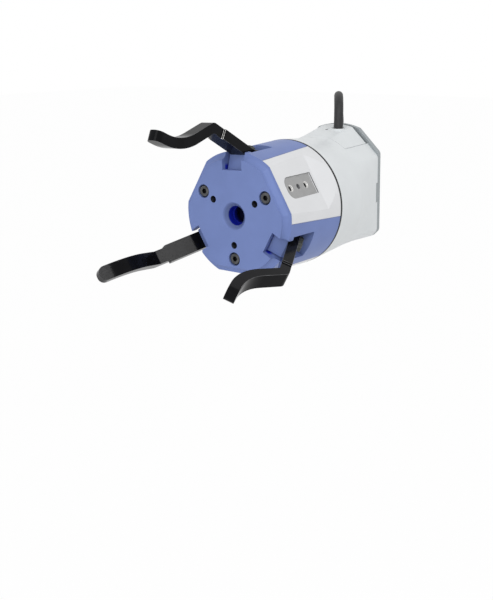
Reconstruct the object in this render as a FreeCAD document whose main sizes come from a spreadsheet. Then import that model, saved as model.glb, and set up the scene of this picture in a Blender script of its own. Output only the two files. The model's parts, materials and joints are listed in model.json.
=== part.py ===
"""Electric three-finger gripper, modelled as an assembly of separate pieces.

The gripper's axis is Y. The origin is the centre of the rear mounting face, and the fingers reach towards -Y.
A station is a distance behind the front face of the nose, and the fingers stand at 90, 210 and 330 degrees
from +X towards +Z. Millimetres and degrees.
"""
import FreeCAD, Part
import math
import os
import Sketcher

V = FreeCAD.Vector
AXIAL = V(0, 1, 0)

# Driving dimensions: name, value, what it measures
DIMENSIONS = [
    ("overall_length", 123, "front face of the nose to the rear mounting face"),
    ("body_radius", 40, "body at the seam between nose and rear housing"),
    ("nose_taper", 2, "nose at its front edge below the body's radius"),
    ("nose_length", 56, "front face to the seam"),
    ("front_round", 4, "rounded front edge"),
    ("flat_depth", 5, "flats of the nose below the body's radius"),
    ("ramp_length", 13, "ramp behind each flat, along the axis"),
    ("ramp_setback", 1, "end of the ramp in front of the seam"),
    ("panel_front", 4.4, "station of a side panel's front edge"),
    ("panel_setback", 0.2, "rear edge of a side panel in front of the seam"),
    ("panel_front_half", 20.1, "half width of a side panel in front"),
    ("panel_rear_half", 23.9, "half width of a side panel behind"),
    ("panel_thickness", 3.5, "side panel under its flat"),
    ("panel_gap", 0.15, "gap round a side panel"),
    ("window_front", 10.6, "station of the window's front end"),
    ("window_rear", 40.2, "station of the window's rear end"),
    ("window_half", 6.9, "half width of the window"),
    ("window_corner", 5.4, "corner radius at the window's front end"),
    ("pad_thickness", 2.8, "mounting pad behind the window"),
    ("pad_rear_gap", 0.9, "slit between the pad and the window's rear end"),
    ("pad_hole_station", 23.7, "station of the pad's middle hole"),
    ("pad_hole_spacing", 16, "pad's two threaded holes"),
    ("pad_hole_radius", 2.1, "pad's threaded holes, M5 core"),
    ("pad_dowel_radius", 1.6, "pad's dowel hole"),
    ("pad_hole_depth", 5.6, "pad's holes, into the nose"),
    ("front_wall", 3.3, "nose wall behind the front face"),
    ("finger_turn", 2, "fingers past the middle between two flats, about the axis"),
    ("notch_floor", 27.2, "axis to the inner edge of a finger notch"),
    ("slot_width", 14, "finger slot"),
    ("slot_rear", 29, "station of a finger slot's rear wall"),
    ("slot_cavity_rear", 33.5, "station of the lever cavity's rear wall"),
    ("slot_cavity_floor", 9, "axis to the lever cavity's floor"),
    ("window_slot_width", 18, "wide mouth of a finger slot in the side of the nose"),
    ("window_slot_front", 8, "station of the wide mouth's front wall"),
    ("window_slot_floor", 31, "axis to the wide mouth's floor"),
    ("pivot_station", 16, "station of the finger pivots"),
    ("pivot_offset", 25.2, "axis to a finger pivot"),
    ("pin_radius", 2, "pivot pin"),
    ("pin_half_length", 12, "half a pivot pin's length"),
    ("running_gap", 0.06, "radial clearance of a running fit"),
    ("tooth_module", 1, "gear teeth of lever and rack"),
    ("gear_teeth", 28, "teeth of the full gear that a lever's sector is part of"),
    ("tooth_backlash", 0.14, "play between lever and rack teeth"),
    ("lever_width", 12.6, "finger lever across its slot"),
    ("lever_face", 11.6, "pivot to the lever's front face"),
    ("lever_chin", 1.8, "lever's front face below the pivot's level"),
    ("lever_face_tilt", 18, "lean of the lever's front face when open"),
    ("saddle_height", 4.7, "pivot to the seat under the finger"),
    ("root_back", 7, "finger's root end behind the pivot, along the arm"),
    ("arm_angle", 28.7, "arm's outward lean when open"),
    ("arm_reach", 46.2, "pivot to the elbow, along the arm"),
    ("step_reach", 36.4, "pivot to the step in width, along the arm"),
    ("fore_angle", 16.7, "inward lean of the finger beyond its elbow"),
    ("fore_length", 29.2, "elbow to the belly of the finger"),
    ("tip_angle", 24.6, "outward lean of the fingertip"),
    ("tip_length", 19, "belly to the fingertip"),
    ("bar_thickness", 6, "finger bar"),
    ("arm_width", 10.8, "finger from its root to the step"),
    ("finger_width", 8.5, "finger beyond the step"),
    ("elbow_outer_round", 5, "outside of the elbow"),
    ("elbow_inner_round", 1.5, "inside of the elbow"),
    ("belly_round", 32, "outside of the belly"),
    ("tip_round", 3.8, "corners of the fingertip"),
    ("finger_screw_first", 3.6, "first finger screw behind the pivot, along the arm"),
    ("finger_screw_pitch", 7.2, "spacing of the finger screws"),
    ("small_head_radius", 2.75, "M3 socket head"),
    ("small_head_height", 3, "M3 socket head"),
    ("small_screw_radius", 1.5, "M3 shank"),
    ("finger_screw_grip", 2.3, "finger screw's thread in the lever"),
    ("nose_bolt_wall", 1.6, "metal between a nose screw's counterbore and the seat of a side panel"),
    ("nose_head_radius", 3.5, "M4 socket head"),
    ("nose_head_height", 4, "M4 socket head"),
    ("nose_head_depth", 4.6, "counterbore of a nose screw"),
    ("nose_head_gap", 0.6, "room round a nose screw's head"),
    ("nose_screw_radius", 2, "M4 shank"),
    ("nose_screw_setback", 1.4, "nose screw's end in front of the bulkhead's rear face"),
    ("screw_hole_gap", 0.25, "clearance hole round a screw"),
    ("tool_hole_radius", 2.1, "threaded holes of the front face, M5 core"),
    ("tool_hole_depth", 10, "threaded holes of the front face"),
    ("bore_radius", 5.9, "centre bore in front"),
    ("bore_inner_radius", 4.9, "centre bore behind its step"),
    ("bore_step", 7, "station of the step in the centre bore"),
    ("bore_chamfer", 2.5, "mouth of the centre bore"),
    ("sleeve_radius", 8.3, "sleeve round the centre bore"),
    ("sleeve_end", 14, "station of the sleeve's inner end"),
    ("bore_floor", 1.5, "wall that closes the centre bore"),
    ("cavity_radius", 13.2, "cavity round the rack"),
    ("rack_front", 5, "station of the rack's front end when open"),
    ("rack_teeth_end", 21.4, "station of the rack's last tooth when open"),
    ("rack_rear", 46, "station of the nut's rear end when open"),
    ("nut_front", 24, "station where the nut's thread starts when open"),
    ("nut_radius", 10, "nut behind the rack"),
    ("screw_radius", 5, "drive screw"),
    ("screw_front", 22, "station of the drive screw's front end"),
    ("screw_recess", 1, "drive screw's rear end in from the end cap's rear face"),
    ("collar_radius", 7, "drive screw's collar behind the front bearing"),
    ("collar_width", 2, "drive screw's collar"),
    ("key_width", 4, "guide key"),
    ("key_length", 11, "guide key"),
    ("key_station", 24.5, "station of the guide key's front end when open"),
    ("key_seat", 8.5, "axis to the guide key's seat in the nut"),
    ("key_top", 12, "axis to the guide key's outer face"),
    ("bush_radius", 14, "guide bush"),
    ("bush_front", 31, "station of the guide bush's front end"),
    ("bush_rear", 43, "station of the guide bush's rear end"),
    ("rear_bore_radius", 16, "nose bore behind the guide bush"),
    ("gasket_thickness", 0.8, "seam gasket"),
    ("gasket_inset", 0.15, "seam gasket below the body's surface"),
    ("gasket_width", 3, "seam gasket's ring"),
    ("housing_wall", 2.5, "rear housing"),
    ("bulkhead_gap", 0.2, "bulkhead in the seam gasket"),
    ("waist_setback", 28.2, "seam to the rear housing's waist"),
    ("waist_depth", 1.6, "waist below the body's radius"),
    ("side_depth", 9, "side flats of the rear end below the body's radius"),
    ("bottom_corner", 4.5, "slanted corners between the bottom and the side flats, across"),
    ("housing_high_height", 24.5, "side flats of the rear housing, above the axis"),
    ("plate_high_height", 27, "side flats of the rear plate, above the axis"),
    ("dome_rise", 5.2, "top of the rear end above the body's radius"),
    ("bottom_depth", 9, "bottom of the rear end below the body's radius"),
    ("rear_corner", 4, "rounded corners of the rear end"),
    ("plate_thickness", 8, "rear plate with its spigot"),
    ("plate_flange", 3.6, "rear plate behind the housing"),
    ("spigot_gap", 1.1, "rear plate's spigot in the housing"),
    ("seam_angle", 34.5, "cover seams, from the vertical"),
    ("cover_length", 27, "top cover along the axis"),
    ("cover_rear_gap", 1.6, "gap between top cover and rear plate"),
    ("light_slot_width", 1.2, "slot in the top cover for the status light"),
    ("light_slot_length", 3.2, "slot for the status light"),
    ("light_slot_setback", 14.4, "middle of the slot in front of the housing's rear end"),
    ("tab_width", 13, "rear plate's side tabs, up and down"),
    ("tab_reach", 2.8, "rear plate's side tabs in front of its flange"),
    ("tab_gap", 0.15, "gap round a side tab"),
    ("seam_gap", 0.3, "gap round the top cover"),
    ("bulkhead_thickness", 9, "bulkhead between nose and motor"),
    ("bearing_outer", 13, "ball bearings' outer radius"),
    ("bearing_width", 8, "ball bearings"),
    ("bearing_shoulder", 1, "shoulder that a bearing seats on"),
    ("bearing_lip", 9.6, "axis to the bearing shoulders"),
    ("ball_radius", 2.1, "bearing balls"),
    ("ball_count", 8, "balls in one bearing"),
    ("motor_inset", 13, "motor can below the body's radius"),
    ("motor_room", 8, "room between the motor's end cap and the rear plate"),
    ("can_wall", 1.5, "motor can"),
    ("stator_inner", 15, "stator's bore"),
    ("stator_end_gap", 4, "stator in from the can's ends"),
    ("stator_slots", 12, "winding slots"),
    ("winding_slot_radius", 2.6, "winding slots"),
    ("air_gap", 0.5, "rotor in the stator"),
    ("end_cap_thickness", 9, "motor's end cap"),
    ("magnet_radius", 4, "encoder magnet"),
    ("magnet_thickness", 2.5, "encoder magnet"),
    ("encoder_gap", 1.2, "encoder magnet to its board"),
    ("board_thickness", 1.6, "circuit boards"),
    ("encoder_board_radius", 20, "encoder board"),
    ("post_radius", 2, "posts of the encoder board"),
    ("post_circle", 16.5, "axis to the posts of the encoder board"),
    ("control_board_half", 15, "half width of the control board"),
    ("board_rise", 2, "control board's underside above the motor can"),
    ("bracket_half", 9, "half width of a board bracket"),
    ("bracket_length", 5, "board bracket along the axis"),
    ("bracket_drop", 6, "board bracket's height"),
    ("header_width", 14, "cable header on the control board"),
    ("header_length", 6, "cable header"),
    ("header_height", 4.5, "cable header"),
    ("front_boss_radius", 6.2, "screw bosses behind the bulkhead"),
    ("boss_edge", 4.85, "bulkhead screws in from the bulkhead's rim"),
    ("boss_motor_gap", 0.5, "front bosses to the motor"),
    ("rear_boss_radius", 4.5, "screw bosses in front of the rear plate"),
    ("boss_length", 12, "screw bosses behind the bulkhead"),
    ("rear_boss_length", 7, "screw bosses in front of the rear plate"),
    ("boss_screw_length", 10, "bulkhead screws in their bosses"),
    ("plate_screw_grip", 6, "rear plate's screws in their bosses"),
    ("plate_screw_inset", 5, "rear plate's screws in from the side flats"),
    ("plate_screw_z", 9, "rear plate's screws, up and down"),
    ("flange_circle", 25, "axis to the robot flange's threaded holes"),
    ("flange_hole_radius", 2.5, "robot flange's threaded holes, M6 core"),
    ("pilot_radius", 15.75, "pilot recess for the robot flange"),
    ("pilot_depth", 3.5, "pilot recess"),
    ("cable_radius", 3.1, "cable"),
    ("gland_x", 6, "cable gland, sideways"),
    ("gland_setback", 10.4, "cable gland in front of the housing's rear end"),
    ("gland_radius", 4.6, "cable gland in the top cover"),
    ("gland_flange", 5.4, "cable gland's flange inside the cover"),
    ("gland_flange_height", 1.5, "cable gland's flange"),
    ("gland_sink", 2.4, "cable gland's upper end below the dome's top"),
    ("gland_length", 5.5, "cable gland"),
    ("plug_radius", 5, "cable's plug"),
    ("plug_length", 26, "cable's plug"),
    ("plug_ring", 6, "plug's coupling ring"),
    ("plug_ring_length", 9, "plug's coupling ring"),
]

doc = FreeCAD.newDocument("gripper")
sheet = doc.addObject("Spreadsheet::Sheet", "Dim")
for row, (alias, number, note) in enumerate(DIMENSIONS, start=1):
    sheet.set(f"A{row}", note)
    sheet.set(f"B{row}", str(number))
    sheet.setAlias(f"B{row}", alias)
doc.recompute()


class Size:
    """A length or angle: the expression that binds it to the sheet, and its present value."""

    def __init__(self, text, value):
        self.text = text
        self.value = float(value)

    def joined(self, sign, other, value):
        return Size(f"({self.text} {sign} {size(other).text})", value)

    def __add__(self, other):
        return self.joined("+", other, self.value + size(other).value)

    def __sub__(self, other):
        return self.joined("-", other, self.value - size(other).value)

    def __mul__(self, other):
        return self.joined("*", other, self.value * size(other).value)

    def __truediv__(self, other):
        return self.joined("/", other, self.value / size(other).value)

    def __neg__(self):
        return Size(f"(0 - {self.text})", -self.value)


def size(item):
    """A plain number as a Size."""
    return item if isinstance(item, Size) else Size(repr(float(item)), item)


def dim(alias):
    """A driving dimension."""
    return Size(f"Dim.{alias}", sheet.get(alias))


def sine(angle):
    return Size(f"sin({angle.text})", math.sin(math.radians(angle.value)))


def cosine(angle):
    return Size(f"cos({angle.text})", math.cos(math.radians(angle.value)))


def root(number):
    return Size(f"sqrt({number.text})", math.sqrt(number.value))


def station(distance):
    """The Y of a place that lies this far behind the front face."""
    return size(distance) - dim("overall_length")


def turn(angle):
    """A rotation about the axis that carries the top of the gripper to this angle."""
    return FreeCAD.Rotation(V(0, -1, 0), angle - 90)


FINGERS = {name: angle + dim("finger_turn").value for name, angle in (("top", 90), ("left", 210), ("right", 330))}
FLATS = {"upper_left": 150, "bottom": 270, "upper_right": 30}
BOTTOM = 270
ROUND = 360

# Places that follow from the dimensions


def flat_distance():
    return dim("body_radius") - dim("flat_depth")


def panel_floor():
    return flat_distance() - dim("panel_thickness")


def nose_bolt_circle():
    return panel_floor() - dim("nose_bolt_wall") - dim("nose_head_gap") - dim("nose_head_radius")


def tool_hole_circle():
    """Midway between the rack's cavity and the counterbores of the nose screws."""
    return (dim("cavity_radius") + nose_bolt_circle() - dim("nose_head_gap") - dim("nose_head_radius")) / 2


def seam_station():
    return dim("nose_length") + dim("gasket_thickness")


def bulkhead_rear():
    return dim("nose_length") + dim("bulkhead_thickness")


def bulkhead_rim():
    return dim("body_radius") - dim("gasket_inset") - dim("gasket_width") - dim("bulkhead_gap")


def front_boss_circle():
    return bulkhead_rim() - dim("boss_edge")


def plate_front():
    return dim("overall_length") - dim("plate_thickness")


def housing_rear():
    return dim("overall_length") - dim("plate_flange")


def cap_rear():
    return plate_front() - dim("motor_room")


def motor_rear():
    return cap_rear() - dim("end_cap_thickness")


def motor_radius():
    return dim("body_radius") - dim("motor_inset")


def dome_radius():
    return dim("body_radius") + dim("dome_rise")


def side_flat():
    return dim("body_radius") - dim("side_depth")


def gland_station():
    return housing_rear() - dim("gland_setback")


# Sketches


def new_body(label):
    body = doc.addObject("PartDesign::Body", label)
    body.Label = label
    return body


def origin_item(body, role):
    return next(item for item in body.Origin.OriginFeatures if item.Role == role)


def new_sketch(body, plane, offset=None):
    """A sketch on one of the body's origin planes, moved along the plane's normal."""
    sketch = body.newObject("Sketcher::SketchObject", "Sketch")
    sketch.AttachmentSupport = [(origin_item(body, plane), "")]
    sketch.MapMode = "FlatFace"
    if offset is not None:
        sketch.setExpression("AttachmentOffset.Base.z", offset.text)
    return sketch


def finger_sketch(body, offset=None):
    """A sketch in the plane of the top finger, or beside that plane."""
    sketch = new_sketch(body, "YZ_Plane")
    lean = dim("finger_turn")
    sketch.AttachmentOffset = FreeCAD.Placement(V(), FreeCAD.Rotation(V(1, 0, 0), -lean.value))
    sketch.setExpression("AttachmentOffset.Rotation.Axis.x", "1")
    sketch.setExpression("AttachmentOffset.Rotation.Angle", (-lean).text)
    if offset is not None:
        sketch.setExpression("AttachmentOffset.Base.y", (offset * sine(lean)).text)
        sketch.setExpression("AttachmentOffset.Base.z", (offset * cosine(lean)).text)
    return sketch


def bind(sketch, constraint, text):
    index = sketch.addConstraint(constraint)
    name = f"size{index}"
    sketch.renameConstraint(index, name)
    sketch.setExpression(f"Constraints.{name}", text)


def pin_point(sketch, line, end, x, y):
    """Holds a line's end at (x, y) from the sketch's origin."""
    bind(sketch, Sketcher.Constraint("DistanceX", -1, 1, line, end, x.value), x.text)
    bind(sketch, Sketcher.Constraint("DistanceY", -1, 1, line, end, y.value), y.text)


def arc_through(start, end, radius, bulge):
    """The short arc between two points, with its centre to the left of the way (bulge 1) or right (-1)."""
    chord = end - start
    half = chord.Length / 2
    across = V(-chord.y, chord.x, 0).normalize()
    centre = (start + end) / 2 + across * (bulge * math.sqrt(max(radius ** 2 - half ** 2, 0)))
    middle = (start + end) / 2 - centre
    top = centre + middle.normalize() * radius
    return Part.Arc(start, top, end)


def outline(sketch, points):
    """A closed outline. A point is (x, y), or (x, y, radius, bulge) where an arc leads on from it."""
    corners = [(size(point[0]), size(point[1])) for point in points]
    places = [V(x.value, y.value, 0) for x, y in corners]
    first = sketch.GeometryCount
    count = len(points)
    for number, point in enumerate(points):
        start, end = places[number], places[(number + 1) % count]
        if len(point) == 4:
            curve = arc_through(start, end, size(point[2]).value, point[3])
            sketch.addGeometry(curve)
        else:
            sketch.addGeometry(Part.LineSegment(start, end))
    for number, point in enumerate(points):
        here, following = first + number, first + (number + 1) % count
        ends = [end_of(sketch, here, places[(number + 1) % count]), end_of(sketch, following, places[(number + 1) % count])]
        sketch.addConstraint(Sketcher.Constraint("Coincident", here, ends[0], following, ends[1]))
        x, y = corners[number]
        pin_point(sketch, here, end_of(sketch, here, places[number]), x, y)
        if len(point) == 4:
            radius = size(point[2])
            bind(sketch, Sketcher.Constraint("Radius", here, radius.value), radius.text)
    return sketch


def end_of(sketch, geometry, place):
    """Which end of a line or arc lies at a place: 1 or 2."""
    gap = [(sketch.getPoint(geometry, end) - place).Length for end in (1, 2)]
    return 1 if gap[0] <= gap[1] else 2


def circle(sketch, x, y, radius):
    x, y, radius = size(x), size(y), size(radius)
    index = sketch.addGeometry(Part.Circle(V(x.value, y.value, 0), V(0, 0, 1), radius.value))
    pin_point(sketch, index, 3, x, y)
    bind(sketch, Sketcher.Constraint("Radius", index, radius.value), radius.text)


# Features


def pad(body, sketch, length, both_sides=True, backwards=False):
    feature = body.newObject("PartDesign::Pad", "Pad")
    feature.Profile = sketch
    feature.Midplane = both_sides
    feature.Reversed = backwards
    feature.setExpression("Length", length.text)
    return feature


def pocket(body, sketch, length, both_sides=True, backwards=False):
    feature = body.newObject("PartDesign::Pocket", "Pocket")
    feature.Profile = sketch
    feature.Midplane = both_sides
    feature.Reversed = backwards
    feature.setExpression("Length", length.text)
    return feature


def revolve(body, points, cut=False):
    """Turns an outline of (station, radius) points about the gripper's axis."""
    sketch = new_sketch(body, "YZ_Plane")
    outline(sketch, [(station(point[0]),) + tuple(point[1:]) for point in points])
    feature = body.newObject("PartDesign::Groove" if cut else "PartDesign::Revolution", "Turned")
    feature.Profile = sketch
    feature.ReferenceAxis = (sketch, ["H_Axis"])
    feature.Angle = ROUND
    return feature


def around(body, features, count):
    """Repeats features about the gripper's axis."""
    pattern = body.newObject("PartDesign::PolarPattern", "Around")
    pattern.Originals = features
    pattern.Axis = (origin_item(body, "Y_Axis"), [""])
    pattern.Angle = ROUND
    if isinstance(count, Size):
        pattern.setExpression("Occurrences", count.text)
    else:
        pattern.Occurrences = count
    body.Tip = pattern
    return pattern


def round_edges(body, radius, places):
    """Rounds the edges that pass nearest to the given places."""
    doc.recompute()
    base = body.Tip
    names = set()
    for place in places:
        spot = Part.Vertex(place)
        gaps = [edge.distToShape(spot)[0] for edge in base.Shape.Edges]
        names.add(f"Edge{gaps.index(min(gaps)) + 1}")
    feature = body.newObject("PartDesign::Fillet", "Round")
    feature.Base = (base, sorted(names))
    feature.setExpression("Radius", radius.text)
    return feature


def turned(label, points):
    """A piece turned about the gripper's axis."""
    body = new_body(label)
    revolve(body, points)
    return body


def box(name, x, y, z):
    """A block between two limits along each axis."""
    block = doc.addObject("Part::Box", name)
    for side, letter, (low, high) in (("Length", "x", x), ("Width", "y", y), ("Height", "z", z)):
        low, high = size(low), size(high)
        block.setExpression(side, (high - low).text)
        block.setExpression(f"Placement.Base.{letter}", low.text)
    return block


def rod(name, radius, length, x, y, z, rotation):
    """A cylinder from a point, along the rotated Z axis."""
    cylinder = doc.addObject("Part::Cylinder", name)
    cylinder.Placement = FreeCAD.Placement(V(), rotation)
    cylinder.setExpression("Radius", size(radius).text)
    cylinder.setExpression("Height", size(length).text)
    for letter, place in (("x", x), ("y", y), ("z", z)):
        cylinder.setExpression(f"Placement.Base.{letter}", size(place).text)
    return cylinder


def cut(name, base, tool):
    result = doc.addObject("Part::Cut", name)
    result.Base = base
    result.Tool = tool
    return result


def common(name, base, tool):
    result = doc.addObject("Part::Common", name)
    result.Base = base
    result.Tool = tool
    return result


def group(label, pieces):
    """Separate solids that share one node."""
    compound = doc.addObject("Part::Compound", label)
    compound.Label = label
    compound.Links = pieces
    return compound


BACK = FreeCAD.Rotation(V(1, 0, 0), -90)
FORWARD = FreeCAD.Rotation(V(1, 0, 0), 90)
SIDEWAYS = FreeCAD.Rotation(V(0, 1, 0), 90)
UP = FreeCAD.Rotation()
pieces = []


def keep(piece):
    pieces.append(piece)
    return piece


def polar(radius, angle):
    """The x and z of a point round the axis."""
    angle = size(angle)
    return size(radius) * cosine(angle), size(radius) * sine(angle)


def cap_screw(name, x, y, z, rotation, sizes, length):
    """A socket head screw: its head's underside at a point, its shank along the rotated Z axis."""
    head_radius, head_height, shank_radius = sizes
    head = rod(f"{name}_head", head_radius, head_height, x, y, z, rotation.multiply(FreeCAD.Rotation(V(1, 0, 0), 180)))
    shank = rod(f"{name}_shank", shank_radius, length, x, y, z, rotation)
    joined = doc.addObject("Part::Fuse", f"{name}_blank")
    joined.Base, joined.Tool = head, shank
    socket = doc.addObject("Part::Prism", f"{name}_socket")
    socket.Polygon = 6
    socket.Placement = FreeCAD.Placement(V(), rotation.multiply(FreeCAD.Rotation(V(1, 0, 0), 180)))
    socket.setExpression("Circumradius", (head_radius / 2).text)
    socket.setExpression("Height", head_height.text)
    sink = rotation.multVec(V(0, 0, 1))
    for letter, place, share in (("x", x, sink.x), ("y", y, sink.y), ("z", z, sink.z)):
        socket.setExpression(f"Placement.Base.{letter}", (size(place) - head_height * round(share, 9) / 2).text)
    return cut(name, joined, socket)


SMALL_SCREW = (dim("small_head_radius"), dim("small_head_height"), dim("small_screw_radius"))
NOSE_SCREW = (dim("nose_head_radius"), dim("nose_head_height"), dim("nose_screw_radius"))

# Nose: a round body with three flats, whose ramps run out into the round, and a rounded front edge


def add_envelope(body):
    rear = dim("body_radius")
    front = rear - dim("nose_taper")
    edge = dim("front_round")
    revolve(body, [
        (0, 0),
        (0, front - edge, edge, 1),
        (edge, front),
        (dim("nose_length"), rear),
        (dim("nose_length"), 0),
    ])
    flat, ramp_end = flat_distance(), dim("nose_length") - dim("ramp_setback")
    outside = -rear * 1.5
    sketch = new_sketch(body, "YZ_Plane")
    outline(sketch, [
        (station(-1), outside),
        (station(-1), edge - flat),
        (station(0), edge - flat, edge, -1),
        (station(edge), -flat),
        (station(ramp_end - dim("ramp_length")), -flat),
        (station(ramp_end), -rear),
        (station(ramp_end), outside),
    ])
    flats = pocket(body, sketch, rear * 2)
    around(body, [flats], len(FLATS))


def panel_outline(sketch, margin):
    """The side panel seen from below, from its front edge to the seam."""
    front, rear = dim("panel_front_half") + margin, dim("panel_rear_half") + margin
    start = station(dim("panel_front") - margin)
    end = station(dim("nose_length") - dim("panel_setback") + margin)
    outline(sketch, [(-front, start), (front, start), (rear, end), (-rear, end)])


def make_nose():
    body = new_body("nose_housing")
    add_envelope(body)
    reach = dim("body_radius") * 1.2
    seat = new_sketch(body, "XY_Plane", -panel_floor())
    panel_outline(seat, dim("panel_gap"))
    seats = pocket(body, seat, dim("body_radius"), both_sides=False)
    around(body, [seats], len(FLATS))

    cavity = finger_sketch(body)
    wall, rear = station(dim("front_wall")), station(dim("slot_cavity_rear"))
    floor, mouth = dim("slot_cavity_floor"), station(dim("slot_rear"))
    shoulder = dim("window_slot_floor")
    outline(cavity, [
        (station(-1), dim("notch_floor")),
        (wall, dim("notch_floor")),
        (wall, floor),
        (rear, floor),
        (rear, dim("pivot_offset")),
        (mouth, shoulder),
        (mouth, reach),
        (station(-1), reach),
    ])
    slots = pocket(body, cavity, dim("slot_width"))
    around(body, [slots], len(FINGERS))

    window = finger_sketch(body)
    start = station(dim("window_slot_front"))
    outline(window, [(start, shoulder), (mouth, shoulder), (mouth, reach), (start, reach)])
    mouths = pocket(body, window, dim("window_slot_width"))
    around(body, [mouths], len(FINGERS))

    revolve(body, [
        (dim("front_wall"), dim("sleeve_radius")),
        (dim("sleeve_end"), dim("sleeve_radius")),
        (dim("sleeve_end"), 0),
        (dim("nose_length") + 1, 0),
        (dim("nose_length") + 1, dim("rear_bore_radius")),
        (dim("bush_rear"), dim("rear_bore_radius")),
        (dim("bush_rear"), dim("bush_radius")),
        (dim("bush_front"), dim("bush_radius")),
        (dim("bush_front"), dim("cavity_radius")),
        (dim("front_wall"), dim("cavity_radius")),
    ], cut=True)
    revolve(body, [
        (-1, 0),
        (-1, dim("bore_radius") + dim("bore_chamfer") + 1),
        (dim("bore_chamfer"), dim("bore_radius")),
        (dim("bore_step"), dim("bore_radius")),
        (dim("bore_step"), dim("bore_inner_radius")),
        (dim("sleeve_end") - dim("bore_floor"), dim("bore_inner_radius")),
        (dim("sleeve_end") - dim("bore_floor"), 0),
    ], cut=True)

    counterbore = new_sketch(body, "XZ_Plane", -station(-1))
    circle(counterbore, 0, -nose_bolt_circle(), dim("nose_head_radius") + dim("nose_head_gap"))
    heads = pocket(body, counterbore, dim("nose_head_depth") + 1, both_sides=False)
    through = new_sketch(body, "XZ_Plane", -station(-1))
    circle(through, 0, -nose_bolt_circle(), dim("nose_screw_radius") + dim("screw_hole_gap"))
    shanks = pocket(body, through, dim("nose_length") + 2, both_sides=False)
    tapped = new_sketch(body, "XZ_Plane", -station(-1))
    circle(tapped, 0, -tool_hole_circle(), dim("tool_hole_radius"))
    tools = pocket(body, tapped, dim("tool_hole_depth") + 1, both_sides=False)
    around(body, [heads, shanks, tools], len(FLATS))

    drilled = finger_sketch(body, -dim("pin_half_length"))
    circle(drilled, station(dim("pivot_station")), dim("pivot_offset"), dim("pin_radius"))
    pins = pocket(body, drilled, dim("pin_half_length") + dim("body_radius"), both_sides=False, backwards=True)
    around(body, [pins], len(FINGERS))

    pad_holes = new_sketch(body, "XY_Plane", -panel_floor())
    add_pad_holes(pad_holes)
    depth = dim("pad_hole_depth") - dim("pad_thickness")
    holes = pocket(body, pad_holes, depth, both_sides=False, backwards=True)
    holes.Label = "pad_holes"
    body.Placement = FreeCAD.Placement(V(), turn(FLATS["upper_right"] + 180))
    return keep(body)


def add_pad_holes(sketch):
    middle, spacing = dim("pad_hole_station"), dim("pad_hole_spacing")
    circle(sketch, 0, station(middle - spacing / 2), dim("pad_hole_radius"))
    circle(sketch, 0, station(middle), dim("pad_dowel_radius"))
    circle(sketch, 0, station(middle + spacing / 2), dim("pad_hole_radius"))


def window_outline(sketch, margin, rear_margin):
    """The window: straight behind, with large round corners in front."""
    half, corner = dim("window_half") - margin, dim("window_corner") - margin
    front, rear = station(dim("window_front") + margin), station(dim("window_rear") - rear_margin)
    outline(sketch, [
        (corner - half, front),
        (half - corner, front, corner, 1),
        (half, front + corner),
        (half, rear),
        (-half, rear),
        (-half, front + corner, corner, 1),
    ])


def make_panel(name, angle, with_window):
    """A white cover on one flat, made below the gripper and turned to its place."""
    body = new_body(f"side_panel_{name}")
    add_envelope(body)
    around_it = new_sketch(body, "XY_Plane")
    panel_outline(around_it, size(0))
    far = dim("body_radius") * 2
    outline(around_it, [
        (-far, station(-far)),
        (far, station(-far)),
        (far, station(far)),
        (-far, station(far)),
    ])
    pocket(body, around_it, dim("body_radius") * 3)
    above = new_sketch(body, "XY_Plane", -panel_floor())
    outline(above, [(-far, station(-far)), (far, station(-far)), (far, station(far)), (-far, station(far))])
    pocket(body, above, far, both_sides=False, backwards=True)
    if with_window:
        opening = new_sketch(body, "XY_Plane", -panel_floor() + 1)
        window_outline(opening, size(0), size(0))
        pocket(body, opening, dim("body_radius"), both_sides=False)
    body.Placement = FreeCAD.Placement(V(), turn(angle + 180))
    return keep(body)


def make_mounting_pad():
    """A metal pad in the window, with two threaded holes and a dowel hole for a bracket."""
    body = new_body("mounting_pad")
    plate = new_sketch(body, "XY_Plane", -panel_floor())
    window_outline(plate, dim("panel_gap"), dim("pad_rear_gap"))
    pad(body, plate, dim("pad_thickness"), both_sides=False, backwards=True)
    holes = new_sketch(body, "XY_Plane", -panel_floor())
    add_pad_holes(holes)
    pocket(body, holes, dim("pad_thickness") * 3)
    body.Placement = FreeCAD.Placement(V(), turn(FLATS["upper_right"] + 180))
    return keep(body)


# Fingers: a bent bar screwed to a geared lever, which turns on a pin across the slot


def bar_points():
    """The bar's outline in the radial plane of the top finger, outer edge first, as (y, z) points."""
    arm, fore, tip = dim("arm_angle"), -dim("fore_angle"), dim("tip_angle")
    thick = dim("bar_thickness")

    def ahead(point, heading, length):
        return point[0] - cosine(heading) * length, point[1] + sine(heading) * length

    def outwards(point, heading, length):
        return point[0] + sine(heading) * length, point[1] + cosine(heading) * length

    def inner(point, before, after):
        share = thick / (cosine(before - after) + 1)
        return point[0] - (sine(before) + sine(after)) * share, point[1] - (cosine(before) + cosine(after)) * share

    pivot = (station(dim("pivot_station")), dim("pivot_offset"))
    seat = outwards(pivot, arm, dim("saddle_height"))
    top = outwards(seat, arm, thick)
    elbow = ahead(top, arm, dim("arm_reach"))
    belly = ahead(elbow, fore, dim("fore_length"))
    end = ahead(belly, tip, dim("tip_length"))
    heel = ahead(top, arm, -dim("root_back"))
    return {
        "heel": heel, "elbow": elbow, "belly": belly, "end": end,
        "inner_end": outwards(end, tip, -thick),
        "inner_belly": inner(belly, fore, tip),
        "inner_elbow": inner(elbow, arm, fore),
        "inner_heel": outwards(heel, arm, -thick),
        "step": ahead(top, arm, dim("step_reach")),
        "inner_step": ahead(seat, arm, dim("step_reach")),
    }


def place_of(point, x=0.0):
    return V(x, point[0].value, point[1].value)


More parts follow.
